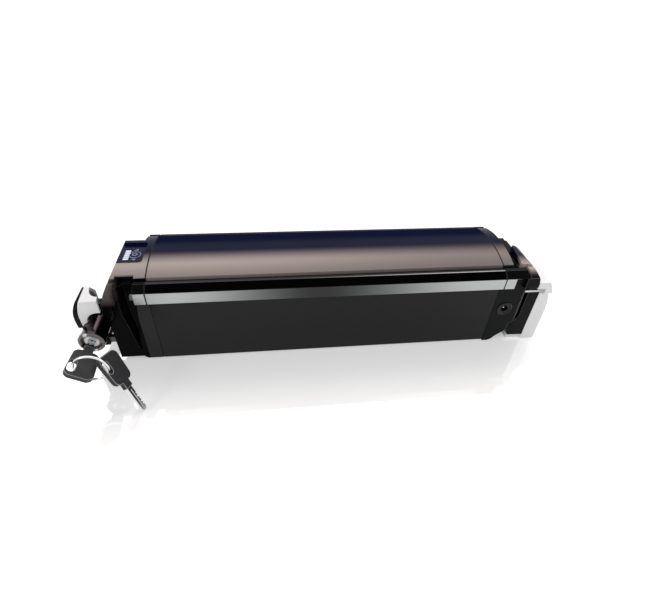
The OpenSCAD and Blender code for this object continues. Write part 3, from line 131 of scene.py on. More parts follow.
class Sock(Nodes):
    """A shader socket that can be used in Python expressions."""

    def __init__(self, tree, socket):
        super().__init__(tree)
        self.socket = socket

    def math(self, operation, *values):
        """The result of an operation on this socket and further sockets or numbers."""
        return self.node("ShaderNodeMath", {"operation": operation},
                         dict(enumerate((self, *values))))

    def __add__(self, other):
        return self.math("ADD", other)

    __radd__ = __add__

    def __sub__(self, other):
        return self.math("SUBTRACT", other)

    def __rsub__(self, other):
        return self.node("ShaderNodeMath", {"operation": "SUBTRACT"}, {0: other, 1: self})

    def __mul__(self, other):
        return self.math("MULTIPLY", other)

    __rmul__ = __mul__

    def clamped(self):
        """The value, kept between 0 and 1."""
        return self.node("ShaderNodeClamp", values={0: self})

    def ramp(self, low, high):
        """0 below low, 1 above high, smooth between."""
        return self.node("ShaderNodeMapRange", {"interpolation_type": "SMOOTHSTEP"},
                         {"Value": self, "From Min": low, "From Max": high})


def rgba(colour):
    """A colour with its alpha; a socket stays as it is."""
    return colour if isinstance(colour, Sock) else (*colour[:3], 1)


def scaled(colour, share):
    """A colour with its values multiplied."""
    return [c * share for c in colour]


class Finish(Nodes):
    """One material and the nodes it is made of."""

    def __init__(self, name):
        self.material = bpy.data.materials.new(name)
        self.material.use_nodes = True
        super().__init__(self.material.node_tree)
        self.shader = self.tree.nodes["Principled BSDF"]

    def set(self, **values):
        """Fills inputs of the surface, named with underscores for their spaces."""
        for key, value in values.items():
            self.fill(self.shader, key.replace("_", " "), value)

    def place(self):
        """The point on the object, in metres."""
        return self.node("ShaderNodeTexCoord", output="Object")

    def axis(self, index):
        """One coordinate of the point: 0, 1 or 2 for x, y or z."""
        return self.node("ShaderNodeSeparateXYZ", values={0: self.place()}, output=index)

    def stretched(self, scale):
        """The point with each coordinate multiplied."""
        return self.node("ShaderNodeMapping", values={"Vector": self.place(), "Scale": scale})

    def noise(self, scale, detail, vector=None):
        """A cloudy pattern on the object, or on a stretched copy of its points."""
        return self.node("ShaderNodeTexNoise", values={
            "Vector": vector or self.place(), "Scale": scale, "Detail": detail})

    def mix(self, amount, first, second):
        """Mixes two colours by a mask, in the Mix node's colour inputs and output."""
        return self.node("ShaderNodeMix", {"data_type": "RGBA"},
                         {0: amount, 6: rgba(first), 7: rgba(second)}, output=2)

    def bump(self, height, distance, strength):
        """A fine relief that follows a pattern."""
        return self.node("ShaderNodeBump", values={
            "Height": height, "Distance": distance, "Strength": strength})

    def blend(self, amount, other):
        """Mixes the surface with another shader by a mask or a share."""
        own = Sock(self.tree, self.shader.outputs[0])
        mixed = self.node("ShaderNodeMixShader", values={0: amount, 1: own, 2: other})
        self.fill(self.tree.nodes["Material Output"], "Surface", mixed)

    def matt(self, amount, colour):
        """Makes the surface matt by a mask."""
        self.blend(amount, self.node("ShaderNodeBsdfDiffuse", values={"Color": rgba(colour)}))


# Sizes and colours

class BatterySizes(PropertyGroup):
    bevel: FloatProperty(
        name="Moulded Edge", description="Rounding of the moulded caps' edges",
        default=0.45 * MM, min=0, unit="LENGTH")
    metal_bevel: FloatProperty(
        name="Metal Edge", description="Rounding of the extruded and pressed edges",
        default=0.3 * MM, min=0, unit="LENGTH")
    bevel_steps: IntProperty(
        name="Edge Steps", description="Faces across a rounded edge", default=2, min=1, max=4)
    mark_line: FloatProperty(
        name="Mark Line", description="Line width of the signs printed on the window",
        default=0.35 * MM, min=0, unit="LENGTH")
    mark_height: FloatProperty(
        name="Mark Height", description="How far the window's print stands proud",
        default=0.06 * MM, min=0, unit="LENGTH")


class BatteryColours(PropertyGroup):
    # painted reflection: the dark blue that the cover's far side reflects
    crown_reflection_blue: FloatVectorProperty(
        name="Cover Rear", description="Paint of the cover's far side", subtype="COLOR",
        default=(0.006, 0.0085, 0.029), min=0, max=1)
    # painted reflection: the warm soft box light on the cover's near side
    crown_reflection_warm: FloatVectorProperty(
        name="Cover Front", description="Paint of the cover's near side", subtype="COLOR",
        default=(0.44, 0.372, 0.348), min=0, max=1)
    case: FloatVectorProperty(
        name="Case", description="Paint of the extruded case", subtype="COLOR",
        default=(0.0085, 0.009, 0.0092), min=0, max=1)
    lip: FloatVectorProperty(
        name="Bright Lip", description="Bare metal of the lip's upright face", subtype="COLOR",
        default=(0.42, 0.44, 0.44), min=0, max=1)
    cap: FloatVectorProperty(
        name="Caps", description="Plastic of the moulded caps", subtype="COLOR",
        default=(0.002, 0.002, 0.0021), min=0, max=1)
    bracket: FloatVectorProperty(
        name="Brackets", description="Paint of the two brackets", subtype="COLOR",
        default=(0.86, 0.87, 0.88), min=0, max=1)
    # dark tint of the window, with a painted blue reflection in it
    window: FloatVectorProperty(
        name="Window", description="Tint of the display window", subtype="COLOR",
        default=(0.003, 0.005, 0.034), min=0, max=1)


# Finishes

FINISHES = {}
BLACK = (0.0015, 0.0015, 0.0016)
# Colour of the painted highlight line along the ledge
EDGE_HIGHLIGHT = (0.6, 0.58, 0.57)
# Painted light on the caps' flange beside the case
FLANGE_LIGHT_GREY = (0.034, 0.035, 0.034)
# Painted highlight on the end face of the lower cap's core
CHAMFER_HIGHLIGHT_GREY = (0.17, 0.175, 0.17)
# Width over which a mask's edge turns
HAIR = 0.25 * MM


# Depths of the fine relief in moulded or painted, peeled, and brushed surfaces
GRAIN_DEPTH, PEEL_DEPTH, BRUSH_DEPTH = 0.00001, 0.00002, 0.000004
# The warm painted reflection's share at the lower end and in the painted near shade, and how
# strong that painted shade is
WARM_END, WARM_SHADE, SHADE_SHARE = 0.6, 0.3, 0.62
# Least strength of the painted highlights on the lip and its line
LIP_LEAST = 0.06


# Ends and faces of the case and of the upper cap, from the frame
CASE_LOW, CASE_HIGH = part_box("case_body")
CASE_START, CASE_END = CASE_LOW[0], CASE_HIGH[0]
CASE_TOP = CASE_HIGH[2]
CAP_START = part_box("upper_end_cap")[0][0]


def span(low, high, origin=0.0):
    """Two places on one axis, given in millimetres from an origin."""
    return origin + low * MM, origin + high * MM


# The case's side lip, the ledge above it, the deck under the crown and the finger recess
LIP_Y = CASE_HIGH[1]
LIP_LOW, LIP_TOP = span(-16.4, -5.7, CASE_TOP)
LEDGE_Y, LEDGE_Z = LIP_Y - 6.5 * MM, CASE_TOP - 0.9 * MM
DECK_Z, DECK_BLEND = CASE_TOP - 2.8 * MM, 1.2 * MM
GRIP_X = CASE_START - 14 * MM

# Where the crown's painted reflection and painted shade change, across it and along it
WARM_TO_BLUE = span(-20, -1)
NEAR_SHADE = span(-36, -14)
FAR_SHADE = span(26, 30)
MATT_FAR = span(0, 18)
CROWN_FADE = span(-120, 160)

# Where the painted highlights on the lip and its line, and the painted shade on the case's side,
# fade along the battery
LIP_LEFT, LIP_RIGHT = span(-135, -15), span(-10, 130)
LINE_FADE = span(-50, 120)
CASE_FADE = span(-140, 100)

# Parts of the two caps and of the connector mount's hood
FLANGE_START, FLANGE_END = span(-12.5, -11.5, CASE_START), span(-0.5, 0, CASE_START)
LOWER_CAP = span(0, 10)
CHAMFER_X, CHAMFER_Y = span(8, 10, CASE_END), span(-30, -26)
NOSE_X, NOSE_Y, NOSE_Z = span(8, 14, CAP_START), span(-26, -20), span(66, 76)
HOOD_NEAR, HOOD_RIM = span(-32, -20), span(-42.5, -36)
HOOD_X, HOOD_Z = span(10, 15, CASE_END), span(78.5, 84)


def crown_painted_reflection(f, colours, base, low=DECK_Z):
    """Painted reflection on the crown: dark blue on its far side, warm on the near side with
    painted shade at its near edge, base below it.
    """
    y = f.axis(1)
    near = 1 - y.ramp(*WARM_TO_BLUE)
    fade = f.axis(0).ramp(*CROWN_FADE)
    warm_reflection = f.mix(fade, colours.crown_reflection_warm, scaled(colours.crown_reflection_warm, WARM_END))
    shade = (1 - y.ramp(*NEAR_SHADE)) * SHADE_SHARE
    warm_reflection = f.mix(shade, warm_reflection, scaled(colours.crown_reflection_warm, WARM_SHADE))
    far = f.mix(y.ramp(*FAR_SHADE), colours.crown_reflection_blue, BLACK)
    above = f.axis(2).ramp(low, low + DECK_BLEND)
    return f.mix(above, base, f.mix(near, far, warm_reflection))


def lip_metal_and_highlight(f):
    """Mask of the lip's upright face of bare metal, strongest towards both ends, where it is a
    painted highlight.
    """
    x, y, z = (f.axis(i) for i in range(3))
    face = z.ramp(LIP_LOW, LIP_LOW + HAIR) * (1 - z.ramp(LIP_TOP - HAIR, LIP_TOP))
    outside = y.math("ABSOLUTE").ramp(LIP_Y - 2 * HAIR, LIP_Y - HAIR)
    ends = (1 - x.ramp(*LIP_LEFT)) + x.ramp(*LIP_RIGHT)
    return face * outside * x.ramp(GRIP_X, GRIP_X + HAIR) * (ends * (1 - LIP_LEAST) + LIP_LEAST)


def bevel_shade_mask(f):
    """Mask of the slanted band between the lip and the ledge, which is painted black and matt as
    painted shade.
    """
    y, z = f.axis(1).math("ABSOLUTE"), f.axis(2)
    return z.ramp(LIP_TOP, LIP_TOP + HAIR) * y.ramp(LEDGE_Y, LEDGE_Y + HAIR)


def ledge_highlight(f):
    """Mask of the painted highlight line along the ledge's outer edge."""
    y, z = f.axis(1).math("ABSOLUTE"), f.axis(2)
    inner = y.ramp(LEDGE_Y - 3 * HAIR, LEDGE_Y - 2 * HAIR)
    edge = inner * (1 - y.ramp(LEDGE_Y + HAIR, LEDGE_Y + 2 * HAIR))
    return edge * z.ramp(LEDGE_Z - 2 * HAIR, LEDGE_Z - HAIR)


def finish_cover(colours):
    """Paint of the crowned cover with the crown's painted reflection, matt and dark blue on its
    far side.
    """
    f = Finish("cover_satin_paint")
    grain = f.noise(2600, 2.0)
    crown_reflection = crown_painted_reflection(f, colours, BLACK)
    f.set(Base_Color=f.mix(grain * 0.06, crown_reflection, (0.05, 0.045, 0.045)),
          Roughness=grain * 0.05 + 0.27, Specular_IOR_Level=0.03,
          Normal=f.bump(grain, GRAIN_DEPTH, 0.2))
    # the far side is made matt in the painted blue reflection
    f.matt(f.axis(1).ramp(*MATT_FAR), colours.crown_reflection_blue)
    return f.material


def finish_case(colours):
    """Paint of the extruded case, with its bare lip painted brighter towards the ends, painted
    shade on its side and bevel, and a painted highlight line along its ledge.
    """
    f = Finish("case_satin_paint")
    streaks = f.noise(60, 2.0, vector=f.stretched((0.4, 40, 40)))
    grain = f.noise(2400, 2.0)
    x, z = f.axis(0), f.axis(2)
    # painted shade: the case's side darker towards the lower end
    plain = f.mix(x.ramp(*CASE_FADE), colours.case, scaled(colours.case, 0.6))
    streaked = f.mix(streaks * 0.12, plain, (0.014, 0.0145, 0.016))
    # painted shade: the bevel band and the deck above the ledge are painted black
    painted_shade = (bevel_shade_mask(f) + z.ramp(LEDGE_Z - 6 * HAIR, LEDGE_Z - 4 * HAIR)).clamped()
    # bare metal of the lip, with a painted highlight towards both ends
    bright = lip_metal_and_highlight(f)
    # painted highlight along the ledge, stronger towards the lower end
    line = ledge_highlight(f) * (x.ramp(*LINE_FADE) * 0.9 + LIP_LEAST)
    base = f.mix(line, f.mix(bright, f.mix(painted_shade, streaked, BLACK), colours.lip), EDGE_HIGHLIGHT)
    f.set(Base_Color=base, Metallic=bright * 0.85,
          Roughness=streaks * 0.04 + bright * 0.1 + 0.24, Specular_IOR_Level=0.17,
          Normal=f.bump(grain, GRAIN_DEPTH, 0.12))
    # painted shade: the bevel band is made matt black
    f.matt(bevel_shade_mask(f), BLACK)
    return f.material


def finish_cap(colours):
    """Plastic of both end caps, with the case's lip and the cover's crown carried on, their
    painted light and shade included.
    """
    f = Finish("cap_moulded_plastic")
    grain = f.noise(3200, 3.0)
    cloud = f.noise(40, 2.0)
    x, y, z = (f.axis(i) for i in range(3))
    # painted light: the flange beside the case is painted paler than the cap's deep black end
    below_lip = 1 - z.ramp(LIP_LOW - HAIR, LIP_LOW)
    lit_flange = x.ramp(*FLANGE_START) * (1 - x.ramp(*FLANGE_END)) * below_lip
    plain = f.mix(x.ramp(*LOWER_CAP), colours.cap, scaled(colours.case, 1.6))
    # painted shade: the bevel band is painted black on the caps too
    plain = f.mix(bevel_shade_mask(f), f.mix(lit_flange, plain, FLANGE_LIGHT_GREY), BLACK)
    # painted highlights: the end faces of the lower cap's core and the upper cap's nose are
    # painted paler, the nose in the warm painted reflection
    normal = f.node("ShaderNodeNewGeometry", output="Normal")
    facing = f.node("ShaderNodeSeparateXYZ", values={0: normal}, output="X")
    chamfer_highlight = facing.ramp(0.25, 0.5) * x.ramp(*CHAMFER_X) * (1 - y.ramp(*CHAMFER_Y))
    painted_lit = f.mix(chamfer_highlight * 0.9, plain, CHAMFER_HIGHLIGHT_GREY)
    nose_highlight = (1 - x.ramp(*NOSE_X)) * (1 - y.ramp(*NOSE_Y)) * z.ramp(*NOSE_Z)
    painted_lit = f.mix(nose_highlight * 0.2, painted_lit, colours.crown_reflection_warm)
    bright = lip_metal_and_highlight(f)
    # the crown's painted reflection and the lip's painted highlight carried onto the cap
    base = f.mix(bright, crown_painted_reflection(f, colours, painted_lit, LEDGE_Z + 4 * HAIR), colours.lip)
    f.set(Base_Color=base, Metallic=bright * 0.85,
          Roughness=cloud * 0.06 + 0.2, Specular_IOR_Level=0.03,
          Normal=f.bump(grain, GRAIN_DEPTH, 0.15))
    return f.material


def finish_base(colours):
    """Black moulding of the connector mount, with the crown's painted reflection carried onto its
    hood.
    """
    f = Finish("base_moulded_plastic")
    grain = f.noise(2500, 3.0)
    x, y, z = (f.axis(i) for i in range(3))
    near = (1 - y.ramp(*HOOD_NEAR)) * y.ramp(*HOOD_RIM)
    top = z.ramp(*HOOD_Z) * x.ramp(*HOOD_X)
    # painted reflection in the crown's colours on the hood
    warm_reflection = f.mix(near, colours.crown_reflection_blue, colours.crown_reflection_warm)
    f.set(Base_Color=f.mix(top, colours.cap, warm_reflection), Roughness=grain * 0.08 + 0.26,
          Specular_IOR_Level=0.07, Normal=f.bump(grain, GRAIN_DEPTH, 0.3))
    return f.material


def finish_head():
    """Plastic of the key heads."""
    f = Finish("key_head_plastic")
    grain = f.noise(2500, 3.0)
    f.set(Base_Color=f.mix(grain * 0.3, (0.04, 0.041, 0.044), (0.052, 0.053, 0.056)),
          Roughness=grain * 0.1 + 0.25, Specular_IOR_Level=0.12,
          Normal=f.bump(grain, GRAIN_DEPTH, 0.3))
    return f.material


def finish_dull(name, colour, roughness, scale=2500):
    """A plain plastic or rubber."""
    f = Finish(name)
    grain = f.noise(scale, 3.0)
    f.set(Base_Color=f.mix(grain * 0.5, colour, [c * 1.7 + 0.004 for c in colour]),
          Roughness=grain * 0.1 + roughness, Specular_IOR_Level=0.2,
          Normal=f.bump(grain, PEEL_DEPTH, 0.4))
    return f.material


def finish_metal(name, colour, roughness):
    """A bare or plated metal."""
    f = Finish(name)
    lines = f.noise(8, 3.0, vector=f.stretched((300, 300, 300)))
    f.set(Base_Color=f.mix(lines * 0.5, colour, scaled(colour, 0.75)),
          Roughness=lines * 0.12 + roughness, Metallic=1.0, Normal=f.bump(lines, BRUSH_DEPTH, 0.3))
    return f.material


def finish_bracket(colours):
    """White paint of the two brackets."""
    f = Finish("bracket_white_paint")
    peel = f.noise(700, 2.0)
    cloud = f.noise(25, 2.0)
    f.set(Base_Color=f.mix(cloud * 0.4, colours.bracket, scaled(colours.bracket, 0.93)),
          Roughness=cloud * 0.06 + 0.22, Normal=f.bump(peel, PEEL_DEPTH, 0.2), Coat_Weight=0.3)
    return f.material


def finish_window(colours):
    """Tinted gloss of the window and its button, its dark blue partly a painted reflection."""
    f = Finish("window_tinted_gloss")
    cloud = f.noise(50, 2.0)
    f.set(Base_Color=f.mix(cloud * 0.4, colours.window, (0.01, 0.014, 0.04)),
          Roughness=cloud * 0.03 + 0.06, Specular_IOR_Level=0.1)
    return f.material


def finish_light(name, colour, strength):
    """A lamp that gives a little light of its own, or a print given a faint painted glow."""
    f = Finish(name)
    glow = f.mix(f.noise(900, 2.0) * 0.3, colour, scaled(colour, 0.85))
    f.set(Base_Color=glow, Roughness=0.3, Emission_Color=glow, Emission_Strength=strength)
    return f.material


def make_finishes(colours):
    """Makes every material, under the short name that DRESS and EDGES use."""
    FINISHES.update({
        "cover": finish_cover(colours),
        "case": finish_case(colours),
        "cap": finish_cap(colours),
        "bracket": finish_bracket(colours),
        "window": finish_window(colours),
        "rubber": finish_dull("rubber_black", (0.006, 0.006, 0.006), 0.6),
        "screw": finish_metal("screw_black_oxide", (0.09, 0.09, 0.095), 0.35),
        "base": finish_base(colours),
        "port": finish_dull("port_plastic", (0.005, 0.005, 0.005), 0.22),
        "socket": finish_dull("socket_plastic", (0.006, 0.006, 0.0065), 0.5),
        "brass": finish_metal("contact_brass", (0.68, 0.46, 0.2), 0.25),
        "nickel": finish_metal("strip_nickel", (0.58, 0.57, 0.53), 0.3),
        "steel": finish_metal("steel_plain", (0.5, 0.5, 0.51), 0.3),
        "chrome": finish_metal("chrome_bright", (0.72, 0.73, 0.75), 0.08),
        "black_chrome": finish_metal("barrel_black_chrome", (0.07, 0.055, 0.06), 0.12),
        "aluminium": finish_metal("heat_plate_aluminium", (0.66, 0.68, 0.7), 0.35),
        "cell": finish_dull("cell_sleeve", (0.02, 0.22, 0.16), 0.35, 900),
        "board": finish_dull("board_lacquer", (0.01, 0.09, 0.035), 0.3, 900),
        "foam": finish_dull("foam_grey", (0.09, 0.095, 0.105), 0.85, 1800),
        "fuse": finish_dull("fuse_orange", (0.5, 0.12, 0.02), 0.3, 900),
        "red_wire": finish_dull("wire_red", (0.4, 0.012, 0.015), 0.4, 900),
        "grey_wire": finish_dull("wire_grey", (0.03, 0.033, 0.038), 0.4, 900),
        "head": finish_head(),
        # painted highlights on the rounded edges of the key heads, caps and mount base
        "head_highlight": finish_dull("key_head_highlit_edge", (0.3, 0.3, 0.31), 0.2),
        "cap_highlight": finish_dull("cap_highlit_edge", (0.11, 0.112, 0.112), 0.2),
        "collar": finish_metal("collar_dark_chrome", (0.13, 0.12, 0.12), 0.12),
        "lamp": finish_light("window_lamp", (0.62, 0.66, 0.78), 0.4),
        # painted light: the printed signs glow faintly
        "print": finish_light("window_print_glow", (0.34, 0.38, 0.5), 0.1),
    })


# Which finish each CAD node wears, and how much its edges are rounded
DRESS = {
    "case_body": ("case", "metal"), "top_cover": ("cover", "metal"),
    "upper_end_cap": ("cap", "moulded"), "lower_end_cap": ("cap", "moulded"),
    "upper_gasket": ("rubber", None), "lower_gasket": ("rubber", None),
    "upper_cap_screws": ("screw", None), "lower_cap_screws": ("screw", None),
    "display_window": ("window", None), "display_board": ("board", None),
    "level_lights": ("lamp", None), "power_button": ("window", None),
    "charge_port": ("port", None), "charge_port_nut": ("steel", None),
    "charge_pin": ("chrome", None),
    "discharge_socket": ("socket", None), "socket_contacts": ("brass", None),
    "battery_cells": ("cell", None), "front_cell_holder": ("socket", None),
    "rear_cell_holder": ("socket", None), "front_nickel_strips": ("nickel", None),
    "rear_nickel_strips": ("nickel", None), "upper_foam": ("foam", None),
    "lower_foam": ("foam", None), "bms_board": ("board", None),
    "bms_heat_plate": ("aluminium", None), "bms_fuse": ("fuse", None),
    "power_wires": ("red_wire", None), "charge_wires": ("red_wire", None),
    "display_wires": ("grey_wire", None),
    "lock_base": ("base", "moulded"), "lock_bracket": ("bracket", "metal"),
    "lock_barrel": ("black_chrome", None), "lock_collar": ("collar", None),
    "barrel_clip": ("steel", None), "lock_mount_screws": ("screw", None),
    "lock_core": ("steel", None), "lock_cam": ("steel", None), "latch_bolt": ("screw", "metal"),
    "key_blade": ("chrome", None), "key_head": ("head", "metal"), "key_ring": ("chrome", None),
    "spare_key_blade": ("chrome", None), "spare_key_head": ("head", "metal"),
    "mount_base": ("base", "moulded"), "lower_bracket": ("bracket", "metal"),
    "plug_housing": ("socket", None), "plug_blades": ("brass", None),
    "mount_seal": ("rubber", None),
    "mount_screws": ("steel", None), "cable_gland": ("rubber", None),
}

# Painted highlight on the rounded edges, a finish that differs from the piece's own
EDGES = {"key_head": "head_highlight", "spare_key_head": "head_highlight", "upper_end_cap": "cap_highlight",
         "lower_end_cap": "cap_highlight", "mount_base": "cap_highlight"}

# Points nearer than this are one, flatter edges go, and sharper ones are rounded
WELD = 0.000002
FLAT_ANGLE, SHARP_ANGLE = math.radians(0.6), math.radians(28)


def add_object(name, data):
    """A new object, linked into the scene."""
    thing = bpy.data.objects.new(name, data)
    bpy.context.scene.collection.objects.link(thing)
    return thing


def body_of(node):
    """Name of the rigid body that a CAD node belongs to."""
    return frame["nodes"][node]["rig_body"]


def rounded_copy(node, width, steps):
    """A copy of a CAD node with its sharp edges rounded; it stands for the node."""
    source = frame["nodes"][node]
    mesh = bmesh.new()
    mesh.from_mesh(source.data)
    bmesh.ops.remove_doubles(mesh, verts=mesh.verts, dist=WELD)
    bmesh.ops.dissolve_limit(mesh, angle_limit=FLAT_ANGLE, verts=mesh.verts, edges=mesh.edges)
    data = bpy.data.meshes.new(node + "_rounded")
    mesh.to_mesh(data)
    mesh.free()
    piece = add_object(node + "_rounded", data)
    bevel = piece.modifiers.new("edges", "BEVEL")
    bevel.width = width
    bevel.segments = steps
    bevel.limit_method = "ANGLE"
    bevel.angle_limit = SHARP_ANGLE
    bevel.use_clamp_overlap = True
    bevel.miter_outer = "MITER_ARC"
    for polygon in data.polygons:
        polygon.use_smooth = True
    smooth = piece.modifiers.new("smooth", "WEIGHTED_NORMAL")
    smooth.keep_sharp = True
    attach(piece, body_of(node))
    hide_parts(node)
    return piece


def wear(piece, finish):
    """Gives a piece one finish in place of its own."""
    piece.data.materials.clear()
    piece.data.materials.append(FINISHES[finish])


class BatteryOperator(Operator):
    """Shared by every step that makes a piece"""
    bl_options = {"REGISTER", "UNDO"}

    def dress(self, context, names):
        """Finishes the named CAD nodes, with rounded copies where DRESS says so."""
        sizes = context.scene.battery_sizes
        for name in names:
            finish, edges = DRESS[name]
            if edges:
                width = sizes.bevel if edges == "moulded" else sizes.metal_bevel
                piece = rounded_copy(name, width, sizes.bevel_steps)
            else:
                piece = frame["nodes"][name]
            wear(piece, finish)
            if name in EDGES:
                piece.data.materials.append(FINISHES[EDGES[name]])
                piece.modifiers["edges"].material = 1


class BATTERY_OT_finishes(BatteryOperator):
    """Make the paints, plastics and metals"""
    bl_idname = "battery.finishes"
    bl_label = "Finishes"

    def execute(self, context):
        make_finishes(context.scene.battery_colours)
        return {"FINISHED"}


class BATTERY_OT_case(BatteryOperator):
    """Paint the extruded case, its gaskets and the cap screws"""
    bl_idname = "battery.case"
    bl_label = "Case"

    def execute(self, context):
        self.dress(context, ["case_body", "upper_gasket", "lower_gasket", "upper_cap_screws",
                             "lower_cap_screws"])
        return {"FINISHED"}


class BATTERY_OT_cover(BatteryOperator):
    """Paint the crowned cover"""
    bl_idname = "battery.cover"
    bl_label = "Cover"

    def execute(self, context):
        self.dress(context, ["top_cover"])
        return {"FINISHED"}


class BATTERY_OT_caps(BatteryOperator):
    """Round and finish the two moulded end caps"""
    bl_idname = "battery.caps"
    bl_label = "End Caps"

    def execute(self, context):
        self.dress(context, ["upper_end_cap", "lower_end_cap"])
        return {"FINISHED"}


class BATTERY_OT_display(BatteryOperator):
    """Finish the window with its lamps, button, board and printed signs"""
    bl_idname = "battery.display"
    bl_label = "Display"

    def execute(self, context):
        self.dress(context, ["display_window", "display_board", "level_lights", "power_button",
                             "display_wires"])
        make_window_marks(context.scene.battery_sizes)
        return {"FINISHED"}


class BATTERY_OT_port(BatteryOperator):
    """Finish the charging port"""
    bl_idname = "battery.port"
    bl_label = "Charging Port"

    def execute(self, context):
        self.dress(context, ["charge_port", "charge_port_nut", "charge_pin"])
        return {"FINISHED"}


class BATTERY_OT_cells(BatteryOperator):
    """Finish the cells with their holders, strips and foam"""
    bl_idname = "battery.cells"
    bl_label = "Cells"

    def execute(self, context):
        self.dress(context, ["battery_cells", "front_cell_holder", "rear_cell_holder",
                             "front_nickel_strips", "rear_nickel_strips", "upper_foam",
                             "lower_foam"])
        return {"FINISHED"}


class BATTERY_OT_electronics(BatteryOperator):
    """Finish the board, its fuse and plate, the socket and the wires"""
    bl_idname = "battery.electronics"
    bl_label = "Electronics"

    def execute(self, context):
        self.dress(context, ["bms_board", "bms_heat_plate", "bms_fuse", "discharge_socket",
                             "socket_contacts", "power_wires", "charge_wires"])
        return {"FINISHED"}


class BATTERY_OT_lock_mount(BatteryOperator):
    """Finish the lock mount's base and white shell"""
    bl_idname = "battery.lock_mount"
    bl_label = "Lock Mount"

    def execute(self, context):
        self.dress(context, ["lock_base", "lock_bracket", "lock_mount_screws"])
        return {"FINISHED"}


class BATTERY_OT_lock(BatteryOperator):
    """Finish the barrel, collar, core, cam and bolt"""
    bl_idname = "battery.lock"
    bl_label = "Lock"

    def execute(self, context):
        self.dress(context, ["lock_barrel", "lock_collar", "barrel_clip", "lock_core", "lock_cam",
                             "latch_bolt"])
        return {"FINISHED"}


class BATTERY_OT_keys(BatteryOperator):
    """Finish the two keys and their ring"""
    bl_idname = "battery.keys"
    bl_label = "Keys"

    def execute(self, context):
        self.dress(context, ["key_blade", "key_head", "key_ring", "spare_key_blade",
                             "spare_key_head"])
        return {"FINISHED"}


class BATTERY_OT_connector(BatteryOperator):
    """Finish the connector mount with its bracket, plug and gland"""
    bl_idname = "battery.connector"
    bl_label = "Connector Mount"

    def execute(self, context):
        self.dress(context, ["mount_base", "lower_bracket", "plug_housing", "plug_blades",
                             "mount_seal", "mount_screws", "cable_gland"])
        return {"FINISHED"}


class BATTERY_OT_stage(BatteryOperator):
    """Set up floor, light and camera"""
    bl_idname = "battery.stage"
    bl_label = "Stage"

    def execute(self, context):
        make_floor()
        make_lights()
        make_camera()
        return {"FINISHED"}


def flat_strip(mesh, points, height):
    """A thin raised patch over a closed outline of points that stand on the window."""
    low = [mesh.verts.new(p) for p in points]
    high = [mesh.verts.new((p[0], p[1], p[2] + height)) for p in points]
    mesh.faces.new(high)
    mesh.faces.new(list(reversed(low)))
    for i in range(len(points)):
        j = (i + 1) % len(points)
        mesh.faces.new((low[i], low[j], high[j], high[i]))


def arc_strip(mesh, centre, radius, width, start, end, height, steps=24):
    """A raised arc of a ring."""
    for i in range(steps):
        a, b = (math.radians(start + (end - start) * (i + k) / steps) for k in (0, 1))
        inner, outer = radius - width / 2, radius + width / 2
        flat_strip(mesh, [
            (centre[0] + r * math.cos(angle), centre[1] + r * math.sin(angle), centre[2])
            for r, angle in ((outer, a), (outer, b), (inner, b), (inner, a))], height)


def box_strip(mesh, centre, across, along, height):
    """A raised rectangle."""
    x, y = across / 2, along / 2
    corners = ((x, y), (-x, y), (-x, -y), (x, -y))
    flat_strip(mesh, [(centre[0] + a, centre[1] + b, centre[2]) for a, b in corners], height)


# The power sign: its arc's radius and the angles it runs between, its stroke's place and length
SIGN_R, SIGN_START, SIGN_END = 1.9 * MM, 30, 330
STROKE_X, STROKE_L = 1.5 * MM, 1.9 * MM
# Bars on each side of the button: place along the battery, place across it, length
BARS = ((0, 6.6 * MM, 3.2 * MM), (0.6 * MM, 7.8 * MM, 2.0 * MM))
# How much broader than the mark line the sign and the bars are
SIGN_LINE, BAR_LINE = 1.4, 1.6


def make_window_marks(sizes):
    """Signs printed on the window: a power sign on the button and short bars round it."""
    line, height = sizes.mark_line, sizes.mark_height
    low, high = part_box("power_button")
    cx, cy, top = (low[0] + high[0]) / 2, (low[1] + high[1]) / 2, high[2]
    button = bmesh.new()
    arc_strip(button, (cx, cy, top), SIGN_R, SIGN_LINE * line, SIGN_START, SIGN_END, height)
    box_strip(button, (cx + STROKE_X, cy, top), STROKE_L, SIGN_LINE * line, height)
    printed(button, "button_sign", "power_button")
    window = bmesh.new()
    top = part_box("display_window")[1][2]
    arc_strip(window, (cx, cy, top), (high[0] - low[0]) / 2 + 2 * line, line, 0, 360, height, 48)
    for side in (-1, 1):
        for x, y, length in BARS:
            box_strip(window, (cx + x, cy + side * y, top), length, BAR_LINE * line, height)
    printed(window, "window_signs", "display_window")


def printed(mesh, name, node):
    """Makes a sign of a mesh and lets it ride with a node's body."""
    data = bpy.data.meshes.new(name)
    mesh.to_mesh(data)
    mesh.free()
    piece = add_object(name, data)
    data.materials.append(FINISHES["print"])
    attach(piece, body_of(node))


FLOOR_REACH = 8.0
FLOOR_CORNERS = ((-1, -1), (1, -1), (1, 1), (-1, 1))
FLOOR_WHITE = (0.86, 0.86, 0.86, 1)
# The floor's own light near the object, and the distances over which it turns white
WHITE_FILL = 0.46
FAR_WHITE = (0.32, 0.75)
# Share and roughness of the floor's mirror image
MIRROR, MIRROR_ROUGHNESS = 0.2, 0.03
# Light that the white world throws on the pieces
WORLD_FILL = 0.5


def seen_mask(nodes):
    """1 for what the camera sees, mirrored or through a window too; 0 for light on surfaces."""
    seen = nodes.node("ShaderNodeLightPath", output="Is Camera Ray")
    for way in ("Is Glossy Ray", "Is Transmission Ray"):
        seen = seen.math("MAXIMUM", nodes.node("ShaderNodeLightPath", output=way))
    return seen


